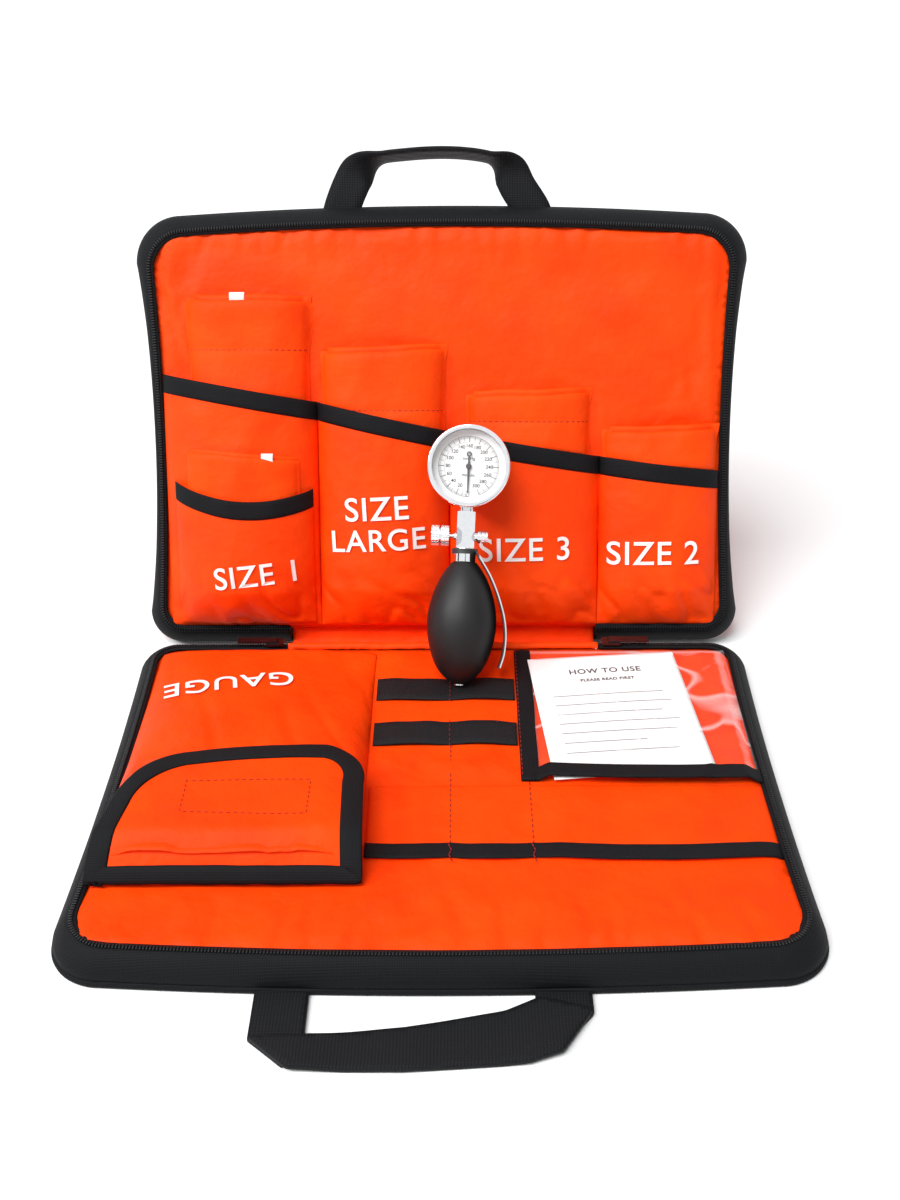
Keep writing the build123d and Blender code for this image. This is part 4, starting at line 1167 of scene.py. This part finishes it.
# ---- upper leaf: cuff pockets -----------------------------------------------------------------
POCKET_FOOT = 12.5
BINDING_W = 10.0
MOUTH_X = (-168.5, -76.0, 4.5, 95.5, 168.5)
MOUTH_S = (167.5, 150.5, 132.5, 117.0, 108.0)
POCKETS = {
    # name: left, right, rise above the lining, seed
    "thigh_cuff_pocket": (-168.5, -75.4, 18.0, 81.0),
    "large_adult_cuff_pocket": (-75.4, 4.4, 18.5, 82.0),
    "adult_cuff_pocket": (4.4, 95.6, 18.5, 83.0),
    "child_cuff_pocket": (95.6, 168.5, 16.0, 84.0),
}


def mouth_at(x):
    return np.interp(x, MOUTH_X, MOUTH_S)


def pocket_dome(u, power=0.58):
    """Cross profile of a filled pocket: flat in the middle, steep at its seams."""
    return np.clip(4 * u * (1 - u), 0, 1) ** power


def cuff_pocket_top(x, s, name):
    """Height of a cuff pocket's sheet: full over the cuff, tucked and puckered at its foot."""
    x0, x1, rise, seed = POCKETS[name]
    u = np.clip((x - x0) / (x1 - x0), 0, 1)
    dome = pocket_dome(u)
    foot = np.clip((s - POCKET_FOOT) / 24, 0, 1) ** 0.62
    foot = foot * (1 - 0.10 * np.abs(np.sin(np.pi * 3 * u + seed)) * smooth((46 - s) / 30))
    n = 16.3 + rise * dome * foot
    full = dome * foot
    n = n + full * (1.7 * ripple(x, s, 30, 60, 14, seed) + 0.9 * ripple(x, s, 13, 34, -24, seed + 0.5))
    pucker = crease(x, s, 15, 36, 30, seed + 1) * smooth((60 - s) / 34) * smooth(full / 0.3)
    sides = crease(x, s, 22, 30, -50, seed + 2) * smooth((0.2 - np.abs(u - 0.5) + 0.28) / 0.2)
    return n - 2.8 * pucker - 1.6 * full * sides * (1 - dome)


def cuff_pockets():
    for name, (x0, x1, *_) in POCKETS.items():
        t, u = np.meshgrid(np.linspace(0, 1, 70), bunched(56), indexing="ij")
        x = x0 + (x1 - x0) * u
        s = POCKET_FOOT + (mouth_at(x) - 1 - POCKET_FOOT) * t
        n = cuff_pocket_top(x, s, name)
        points, faces = sheet_solid(on_upper(x, s, n), 0.9)
        cloth = piece(name + "_cloth", points, faces, upper_nylon, "lid_leaf", [name])
        length = float(mouth_at((x0 + x1) / 2)) - POCKET_FOOT + 8


cuff_pockets()


def mouth_tape():
    """Binding along the slanting mouths; it dips into the seams between the pockets."""
    parts = []
    for name, (x0, x1, *_) in POCKETS.items():
        xs = x0 + (x1 - x0) * bunched(46)
        height = lambda x, s: cuff_pocket_top(x, s, name) - 0.3
        parts.append(ribbon(height, xs, lambda x: mouth_at(x) - 5.0, BINDING_W, 1.2, on_upper, 0.5))
    xs = INFANT_LEFT + (INFANT_RIGHT - INFANT_LEFT) * bunched(46)
    parts.append(
        ribbon(
            lambda x, s: infant_top(x, s) - 0.3, xs, lambda x: infant_mouth(x) - 5.0,
            BINDING_W, 1.2, on_upper, 0.5,
        )
    )
    points, faces = joined(parts)
    piece(
        "cuff_pocket_bindings", points, faces, upper_tape, "lid_leaf",
        ["upper_pocket_bindings"],
    )


INFANT_LEFT = -161.5
INFANT_RIGHT = -78.5


def infant_mouth(x):
    """The small pocket's mouth sags between its two corners."""
    t = np.clip((x - INFANT_LEFT) / (INFANT_RIGHT - INFANT_LEFT), 0, 1)
    return 104.0 - 5.5 * t - 9.0 * np.sin(np.pi * t) ** 0.8


def infant_top(x, s):
    """Height of the small pocket's sheet; it lies smooth under its printed label."""
    u = np.clip((x - INFANT_LEFT) / (INFANT_RIGHT - INFANT_LEFT), 0, 1)
    under = cuff_pocket_top(x, s, "thigh_cuff_pocket")
    dome = pocket_dome(u, 0.6)
    foot = np.clip((s - 14) / 26, 0, 1) ** 0.6
    n = under + 1.2 + 7.6 * dome * foot
    folds = 1.2 * crease(x, s, 20, 50, 35, 92.0) * smooth((36 - s) / 16)
    printed = smooth((34 - np.abs(x + 111.5)) / 8) * smooth((20 - np.abs(s - 47.5)) / 8)
    n = n + dome * (1.0 * ripple(x, s, 26, 50, 25, 91.0) - folds) * (1 - 0.8 * printed)
    return n


def infant_pocket():
    t, u = np.meshgrid(np.linspace(0, 1, 56), bunched(56), indexing="ij")
    x = INFANT_LEFT + (INFANT_RIGHT - INFANT_LEFT) * u
    s = 15.0 + (infant_mouth(x) - 1 - 15.0) * t
    points, faces = sheet_solid(on_upper(x, s, infant_top(x, s)), 0.9)
    obj = piece(
        "infant_cuff_pocket_cloth", points, faces, upper_nylon, "lid_leaf",
        ["infant_cuff_pocket"],
    )


infant_pocket()
mouth_tape()
leaf("lower", on_lower, lower_top, lower_free, LOWER_WAISTS, "case_base", lower_nylon, lower_tape)
leaf("upper", on_upper, upper_top, upper_free, UPPER_WAISTS, "lid_leaf", upper_nylon, upper_tape)

# ---- cuffs ------------------------------------------------------------------------------------
CUFFS = {
    # name: left, right, crown above the lining, top, height of the hem seam, seed
    "thigh_cuff": (-151.5, -80.0, 13.2, 214.0, 182.0, 101.0),
    "large_adult_cuff": (-72.0, 1.5, 15.8, 182.0, 146.0, 102.0),
    "adult_cuff": (15.5, 89.0, 15.8, 156.0, 139.0, 103.0),
    "child_cuff": (98.0, 166.0, 13.0, 134.0, 0.0, 104.0),
}
CUFF_BASE = 17.2
CUFF_FOOT = 20.0


def kept_under(n, s, mouth, room):
    """A cuff's height n, held down to room inside its pocket and let free past the mouth."""
    inside = smooth((mouth + 5 - s) / 9)
    return np.where(s < mouth + 5, np.minimum(n, room) * inside + n * (1 - inside), n)


def cuff_front(x, s, name):
    """Height of a folded cuff's front."""
    x0, x1, crown, top, hem, seed = CUFFS[name]
    u = np.clip((x - x0) / (x1 - x0), 0, 1)
    dome = (1 - np.abs(2 * u - 1) ** 3.2) ** 0.6
    foot = np.clip((s - CUFF_FOOT) / 18, 0, 1) ** 0.6
    out = smooth((s - mouth_at((x0 + x1) / 2) + 10) / 30)
    full = crown * (1 - 0.22 * out)
    n = CUFF_BASE + 1.6 + full * dome * foot
    n = n + dome * (1.3 * ripple(x, s, 26, 52, 8, seed) + 0.6 * ripple(x, s, 11, 30, -20, seed + 0.3))
    if hem:
        n = n - 0.7 * np.exp(-(((s - hem) / 1.3) ** 2)) * dome
    pocket = name + "_pocket"
    room = cuff_pocket_top(x, np.minimum(s, mouth_at(x)), pocket) - 1.9
    return kept_under(n, s, mouth_at(x), room)


def folded_panel(x0, x1, foot, top_of, front, thickness, flare=0.0):
    """One fold of a cuff: a soft flat panel whose upper end is a rounded fold."""
    us = np.linspace(0, 1, 44)
    ts = np.linspace(0, 1, 76) ** 0.85
    t, u = np.meshgrid(ts, us, indexing="ij")
    x = x0 + (x1 - x0) * u
    s = foot + (top_of(x) - foot) * t
    x = x + flare * smooth((t - 0.8) / 0.2) * (u - 0.35)
    n = front(x, s)
    tip = np.sqrt(np.clip(1 - ((t - 1) / 0.035 + 1).clip(0, 1) ** 2, 0, 1))
    side = np.sqrt(np.clip(1 - ((np.abs(2 * u - 1) - 1) / 0.07 + 1).clip(0, 1) ** 2, 0, 1))
    low = np.sqrt(np.clip(1 - (1 - t / 0.04).clip(0, 1) ** 2, 0, 1))
    body = tip * side * low
    front_side = on_upper(x, s, n - thickness * 0.5 * (1 - body))
    back_side = on_upper(x, s, n - thickness * (0.5 + 0.5 * body))
    return closed_grid(front_side, back_side)


def cuffs():
    for name, (x0, x1, _, top, hem, seed) in CUFFS.items():
        front = lambda x, s: cuff_front(x, s, name)
        slope = 0.03 if name != "thigh_cuff" else -0.02
        main_top = lambda x: (
            top - 2.5 + slope * (x - x0) + 0.8 * ripple(x, x * 0, 24, 1, 0, seed)
        )
        flare = 7.0 if name == "thigh_cuff" else 2.0
        parts = [folded_panel(x0, x1, CUFF_FOOT, main_top, front, 3.2, flare)]
        # the folds behind it, each a little taller and shifted to one side
        for k, (dx, rise, back) in enumerate(((2.6, 3.4, 3.6), (-2.0, 1.6, 6.6))):
            tall = lambda x: main_top(x) + rise + 0.5 * ripple(x, x * 0, 18, 1, 0, k)
            behind = lambda x, s: np.maximum(front(x, s) - back, CUFF_BASE + 2.2)
            start = mouth_at(x0) - 45
            parts.append(
                folded_panel(x0 + 2 + dx, x1 - 1.2 + dx * 0.6, start, tall, behind, 2.6, 3.0)
            )
        # the back of the roll
        base = lambda x, s: np.maximum(front(x, s) - 9.0, CUFF_BASE + 1.6)
        parts.append(folded_panel(x0 + 2, x1 - 2, CUFF_FOOT + 2, main_top, base, 2.4))
        points, faces = joined(parts)
        roll = piece(
            name + "_folded", points, faces, cuff_nylon, name,
            [name + "_cover", name + "_bladder"],
        )
        if hem:
            stitch_row(
                name + "_hem_stitching", on_upper, front, [(x0 + 1.5, hem), (x1 - 1.5, hem - 0.5)],
                name, "cuff_nylon", lift=0.1, width=0.6, stitch=2.4, gap=1.1,
            )


cuffs()

INFANT_CUFF_LEFT = -153.0
INFANT_CUFF_RIGHT = -86.0


def infant_cuff_front(x, s):
    u = np.clip((x - INFANT_CUFF_LEFT) / (INFANT_CUFF_RIGHT - INFANT_CUFF_LEFT), 0, 1)
    dome = (1 - np.abs(2 * u - 1) ** 3.0) ** 0.6
    under = cuff_pocket_top(x, np.minimum(s, 150), "thigh_cuff_pocket")
    n = under + 2.2 + 4.6 * dome * np.clip((s - 20) / 18, 0, 1) ** 0.6
    n = n + dome * 0.9 * ripple(x, s, 22, 40, 10, 111.0)
    mouth = infant_mouth(x)
    return kept_under(n, s, mouth, infant_top(x, np.minimum(s, mouth)) - 1.8)


def infant_cuff():
    top = lambda x: 122.5 - 0.1 * (x + 153) + 0.7 * ripple(x, x * 0, 20, 1, 0, 112.0)
    parts = [folded_panel(INFANT_CUFF_LEFT, INFANT_CUFF_RIGHT, 22, top, infant_cuff_front, 2.6)]
    parts.append(
        folded_panel(
            INFANT_CUFF_LEFT + 2.5, INFANT_CUFF_RIGHT - 2, 60, lambda x: top(x) + 2.0,
            lambda x, s: infant_cuff_front(x, s) - 2.2, 1.8, 3.0,
        )
    )
    points, faces = joined(parts)
    roll = piece(
        "infant_cuff_folded", points, faces, cuff_nylon, "infant_cuff",
        ["infant_cuff_cover", "infant_cuff_bladder"],
    )


infant_cuff()


def tag(name, centre, size, height, body):
    """A small sewn-in white care tag that sticks out of a fold."""
    b, a = np.meshgrid(np.linspace(0, 1, 10), np.linspace(-0.5, 0.5, 12), indexing="ij")
    x = centre[0] + a * size[0]
    s = centre[1] + b * size[1]
    n = height + 0.5 * np.sin(3 * b) + 0.3 * a
    points, faces = sheet_solid(on_upper(x, s, n), 0.4)
    piece(name, points, faces, tag_white, body)


tag("thigh_cuff_tag", (-121.0, 209.0), (9.0, 6.5), 26.0, "thigh_cuff")
tag("infant_cuff_tag", (-104.0, 116.0), (7.0, 5.0), 38.0, "infant_cuff")

LABELS = (
    ("infant_label", "SIZE 1", 18.5, (-111.5, 47.5), 5.5, "infant"),
    ("large_label_1", "SIZE", 20.0, (-39.5, 86.5), 2.5, "large_adult_cuff_pocket"),
    ("large_label_2", "LARGE", 18.5, (-39.0, 67.5), 2.5, "large_adult_cuff_pocket"),
    ("adult_label", "SIZE 3", 20.0, (50.0, 61.5), 1.0, "adult_cuff_pocket"),
    ("child_label", "SIZE 2", 20.0, (128.0, 58.5), 0.5, "child_cuff_pocket"),
)
for name, text, size, centre, turn, pocket in LABELS:
    if pocket == "infant":
        height = infant_top
    else:
        height = lambda x, s, pocket=pocket: cuff_pocket_top(x, s, pocket)
    label(name, text, size, centre, turn, on_upper, height, "lid_leaf")


# ---- handles ----------------------------------------------------------------------------------
WEB_W = 25.0
WEB_T = 2.2


def strap(centres, sides, ups, width, thickness):
    """Webbing along a line, with its own side and face directions at each point."""
    rows = []
    half = width / 2
    section = [(-half, 0.0), (-half + 0.5, 0.5), (-half * 0.5, 0.52), (0, 0.5), (half * 0.5, 0.52)]
    section += [(half - 0.5, 0.5), (half, 0.0), (half - 0.5, -0.5), (0, -0.5), (-half + 0.5, -0.5)]
    for off, lift in section:
        rows.append(centres + sides * off + ups * (lift * thickness))
    return swept(np.stack(rows, 1))


def unit(v):
    return v / np.maximum(np.linalg.norm(v, axis=-1, keepdims=True), 1e-9)


def curve_through(points, count):
    """Smooth line through a few points (Catmull-Rom)."""
    p = np.array(points, float)
    p = np.concatenate([[2 * p[0] - p[1]], p, [2 * p[-1] - p[-2]]])
    out = []
    for a, b, c, d in zip(p, p[1:], p[2:], p[3:]):
        for t in np.linspace(0, 1, count, endpoint=False):
            bend = (2 * a - 5 * b + 4 * c - d) * t**2 + (3 * b - a - 3 * c + d) * t**3
            out.append(0.5 * (2 * b + (c - a) * t + bend))
    out.append(p[-2])
    return np.array(out)


def upper_handle():
    """Webbing loop of the upper leaf: two straps that lean together and a bar on its edge."""
    line = curve_through(
        [(-61, 256), (-60, 264), (-55, 277), (-49, 287), (-38, 294), (-20, 296.5), (0, 297.5),
         (18, 296.5), (32, 293.5), (41, 287), (46.5, 277), (55, 264), (57, 256)], 8
    )
    t = np.linspace(0, 1, len(line))
    ahead = unit(np.gradient(line, axis=0))
    turned = smooth((t - 0.20) / 0.16) * smooth((0.80 - t) / 0.16)  # how far the bar has twisted
    angle = turned * math.radians(84)
    lift = 1.9 + 2.0 * turned + 0.4 * np.sin(9 * t)
    centres = on_upper(line[:, 0], line[:, 1], lift)
    zero = on_upper(np.zeros(1), np.zeros(1), np.zeros(1))
    east = on_upper(np.ones(1), np.zeros(1), np.zeros(1)) - zero
    north = on_upper(np.zeros(1), np.ones(1), np.zeros(1)) - zero
    up = on_upper(np.zeros(1), np.zeros(1), np.ones(1)) - zero
    flat_side = ahead[:, :1] * north - ahead[:, 1:] * east
    sides = flat_side * np.cos(angle)[:, None] + up * np.sin(angle)[:, None]
    ups = up * np.cos(angle)[:, None] - flat_side * np.sin(angle)[:, None]
    points, faces = strap(centres, sides, ups, WEB_W - 3, WEB_T)
    piece("upper_handle_webbing", points, faces, upper_web, "lid_handle", ["upper_handle"])


def lower_handle():
    """Webbing loop of the lower leaf, lying on the table: each corner is a flat fold."""
    left = [(-84.5, 255), (-59.5, 255), (-59.5, 296), (-68, 306), (-84.5, 292)]
    bar = [(-84.5, 292), (-66, 308), (-15, 308.5), (40, 304.5), (55, 299.5), (70, 277), (46, 270)]
    bar += [(30, 277), (-15, 286), (-59.5, 290.5)]
    right = [(70, 255), (70, 278), (57, 292), (44, 272), (44, 255)]
    parts = []
    for outline, lift in ((left, 2.8), (right, 2.8), (bar, 5.0)):

        def height(x, s, lift=lift):
            n = lift + 0.5 * ripple(x, s, 30, 60, 0, lift)
            if lift > 4:
                n = n - 2.1 * smooth((62 - np.abs(x + 8)) / 30)
            return n

        points, faces = filled(np.array(outline, float)[::-1], 2.4, on_lower, height, 0)
        count = len(points) // 2
        points[count:] = points[:count] - np.array([0, 0, WEB_T])
        parts.append((points, faces))
    points, faces = joined(parts)
    piece("lower_handle_webbing", points, faces, lower_web, "base_handle", ["lower_handle"])


upper_handle()
lower_handle()

# ---- palm gauge -------------------------------------------------------------------------------
GAUGE_TIP = np.array([9.7, BACK_Y - 54.4, 20.2])
GAUGE_LEAN = math.radians(9.8)
GAUGE_ROLL = math.radians(2.8)
DIAL_AT = 126.5
DIAL_FACE = 3.6
SCALE_OUTER = 17.6
upper_x = np.array([1.0, 0.0, 0.0])
upper_s = np.array([0.0, LEAN_COS, LEAN_SIN])
upper_n = np.array([0.0, -LEAN_SIN, LEAN_COS])
stem_dir = upper_x * math.sin(GAUGE_ROLL) + (
    upper_s * math.cos(GAUGE_LEAN) - upper_n * math.sin(GAUGE_LEAN)
) * math.cos(GAUGE_ROLL)
face_dir = upper_s * math.sin(GAUGE_LEAN) + upper_n * math.cos(GAUGE_LEAN)
side_dir = np.cross(stem_dir, face_dir)


def on_gauge(side, along, out):
    """Points of the palm gauge: to its right, up its stem, and out of its dial."""
    side, along, out = np.broadcast_arrays(side, along, out)
    return (
        GAUGE_TIP
        + side[..., None] * side_dir
        + along[..., None] * stem_dir
        + out[..., None] * face_dir
    )


def on_dial(a, b, out):
    return on_gauge(a, DIAL_AT + np.asarray(b, float), np.asarray(out, float))


def dial_angle(pressure):
    """Direction of a pressure on the dial: zero is straight down and the scale runs clockwise."""
    return math.radians(-90 - 337.0 / 300 * pressure)


def dial_layer(lift):
    """Heights of a thin bar's four corners: two just above the dial's face, two just in it."""
    return np.array([DIAL_FACE + lift] * 2 + [DIAL_FACE - 0.05] * 2)


def dial_print():
    parts = []
    for pressure in range(2, 301, 2):
        angle = dial_angle(pressure)
        inner, half = (16.1, 0.07)
        if pressure % 10 == 0:
            inner, half = (15.1, 0.12)
        if pressure % 20 == 0:
            inner, half = (14.3, 0.19)
        c, d = math.cos(angle), math.sin(angle)
        loops = []
        for r in (inner, SCALE_OUTER):
            a = np.array([r * c - half * d, r * c + half * d, r * c + half * d, r * c - half * d])
            b = np.array([r * d + half * c, r * d - half * c, r * d - half * c, r * d + half * c])
            loops.append(on_dial(a, b, dial_layer(0.1)))
        parts.append(swept(loops))
    for radius, half in ((SCALE_OUTER, 0.08), (14.2, 0.05)):
        ring = []
        for angle in np.linspace(dial_angle(0), dial_angle(300), 160):
            c, d = math.cos(angle), math.sin(angle)
            a = np.array([radius - half, radius + half, radius + half, radius - half])
            ring.append(on_dial(a * c, a * d, dial_layer(0.08)))
        parts.append(swept(ring))
    words = [("mmHg", 2.6, 0.03, (0.0, 4.6)), ("PRESSURE", 1.7, 0.03, (0.0, -5.2))]
    numbers = []
    for pressure in range(20, 301, 20):
        angle = dial_angle(pressure)
        centre = np.array([math.cos(angle), math.sin(angle)]) * 12.0
        numbers.append((str(pressure), 2.9, 0.05, centre))
    for text, size, bold, at in numbers + words:
        points, faces = letters(text, size, bold)
        put = lambda a, b, lift: on_dial(at[0] + a, at[1] + b, DIAL_FACE + 0.05 + lift + 0 * a)
        parts.append(raised_print(points, faces, put, 0.05))
    # zero box at the foot of the scale
    ring = []
    for a, b in ((-1.0, -17.4), (1.0, -17.4), (1.0, -14.6), (-1.0, -14.6)):
        inward = np.array([a * 0.8, b + (0.25 if b < -16 else -0.25)])
        ring.append(
            on_dial(
                np.array([a, inward[0], inward[0], a]), np.array([b, inward[1], inward[1], b]),
                dial_layer(0.1),
            )
        )
    parts.append(swept(ring, closed_rows=True))
    points, faces = joined(parts)
    piece("dial_scale", points, faces, dial_ink, "palm_gauge", flat=True)


dial_print()


def spoon_edge():
    """Bright metal edge of the finger spoon beside its face, whose near-black colour is painted shade and
    painted reflection of the dark bulb.
    """
    path = curve_through(
        [(8.9, 74.6), (12.1, 69.9), (16.2, 63.1), (20.7, 53.1), (24.6, 41.0), (26.2, 30.0), (25.7, 19.0),
         (23.6, 10.8)], 8
    )
    ahead = unit(np.gradient(path, axis=0))
    out = np.stack([ahead[:, 1], -ahead[:, 0]], -1)
    rows = []
    half = 8.9
    for lift, wide in ((0.05, -half), (0.75, -half), (0.75, half), (0.05, half)):
        at = path + out * lift
        rows.append(on_gauge(at[:, 0], at[:, 1], np.full(len(at), wide)))
    points, faces = swept(np.stack(rows, 1))
    piece("spoon_metal_back", points, faces, chrome, "palm_gauge", flat=True)


spoon_edge()


# ---- stage, light and camera ------------------------------------------------------------------
def floor():
    half = 9000.0
    points = [(-half, -half, 0), (half, -half, 0), (half, half, 0), (-half, half, 0)]
    white = moulded("floor_white", (0.95, 0.95, 0.95), (0.97, 0.97, 0.97), 0.9, 6.0, 0.02, 0.1)
    piece("studio_floor", np.array(points), [(0, 1, 2, 3)], white, flat=True)


floor()


def lamp(name, place, aim, size, power):
    light = bpy.data.lights.new(name, "AREA")
    light.energy = power
    light.size = size
    obj = bpy.data.objects.new(name, light)
    bpy.context.scene.collection.objects.link(obj)
    obj.location = place
    obj.rotation_mode = "QUATERNION"
    obj.rotation_quaternion = (Vector(aim) - Vector(place)).to_track_quat("-Z", "Y")


lamp("key_light", (-1.3, -0.5, 1.2), (0, 0.05, 0.08), 0.35, 14)
sky = bpy.data.lights.new("sky_light", "SUN")
sky.energy = 2.7
sky.angle = math.radians(35)
sky_lamp = bpy.data.objects.new("sky_light", sky)
bpy.context.scene.collection.objects.link(sky_lamp)
sky_lamp.rotation_mode = "QUATERNION"
sky_lamp.rotation_quaternion = Vector((0.3, 0.42, -1.0)).to_track_quat("-Z", "Y")


def dark_card(name, centre, size, turn):
    """A dark card that only reflections see, as round a product on a light table."""
    c, d = math.cos(math.radians(turn)), math.sin(math.radians(turn))
    w, h = size
    points = [
        (centre[0] + a * w / 2 * c, centre[1] + a * w / 2 * d, centre[2] + b * h / 2)
        for a, b in ((-1, -1), (1, -1), (1, 1), (-1, 1))
    ]
    card = piece(name, points, [(0, 1, 2, 3)], dial_ink, flat=True)
    card.visible_camera = False
    card.visible_diffuse = False
    card.visible_shadow = False
    card.visible_transmission = False


dark_card("reflection_card_left", (-1500, -300, 500), (420, 2200), -80)
dark_card("reflection_card_right", (1500, -500, 500), (520, 2200), 75)
dark_card("reflection_card_front", (350, -2000, 900), (360, 1400), 10)

world = bpy.data.worlds.new("studio")
bpy.context.scene.world = world
world.use_nodes = True
world.node_tree.nodes["Background"].inputs["Color"].default_value = (0.98, 0.99, 1.0, 1)
# the lamps' share of the light falls on the cloth from one side, and reflections see a white studio
rays = world.node_tree.nodes.new("ShaderNodeLightPath")
seen = world.node_tree.nodes.new("ShaderNodeMath")
seen.operation = "MAXIMUM"
world.node_tree.links.new(rays.outputs["Is Camera Ray"], seen.inputs[0])
world.node_tree.links.new(rays.outputs["Is Glossy Ray"], seen.inputs[1])
strength = world.node_tree.nodes.new("ShaderNodeMapRange")
strength.inputs["To Min"].default_value = 0.36
strength.inputs["To Max"].default_value = 1.05
world.node_tree.links.new(seen.outputs[0], strength.inputs["Value"])
world.node_tree.links.new(
    strength.outputs["Result"], world.node_tree.nodes["Background"].inputs["Strength"]
)
bpy.context.scene.view_settings.view_transform = "Standard"

CAMERA_AT = (0.0096, -0.5496, 0.4861)
CAMERA_DOWN = math.radians(33.05)
CAMERA_YAW = math.radians(-0.429)
CAMERA_ROLL = math.radians(-0.448)
forward = Vector(
    (
        math.sin(CAMERA_YAW) * math.cos(CAMERA_DOWN),
        math.cos(CAMERA_YAW) * math.cos(CAMERA_DOWN),
        -math.sin(CAMERA_DOWN),
    )
)
level = Vector((math.cos(CAMERA_YAW), -math.sin(CAMERA_YAW), 0.0))
above = level.cross(forward)
right = level * math.cos(CAMERA_ROLL) + above * math.sin(CAMERA_ROLL)
up = above * math.cos(CAMERA_ROLL) - level * math.sin(CAMERA_ROLL)
lens = bpy.data.cameras.new("camera")
lens.sensor_width = 36.0
lens.lens = 36.0 * 1337.0 / 1200.0  # focal length as a share of the picture's height
lens.clip_start = 0.01
lens.clip_end = 50.0
camera = bpy.data.objects.new("camera", lens)
bpy.context.scene.collection.objects.link(camera)
camera.matrix_world = Matrix(
    (
        (right.x, up.x, -forward.x, CAMERA_AT[0]),
        (right.y, up.y, -forward.y, CAMERA_AT[1]),
        (right.z, up.z, -forward.z, CAMERA_AT[2]),
        (0, 0, 0, 1),
    )
)
bpy.context.scene.camera = camera
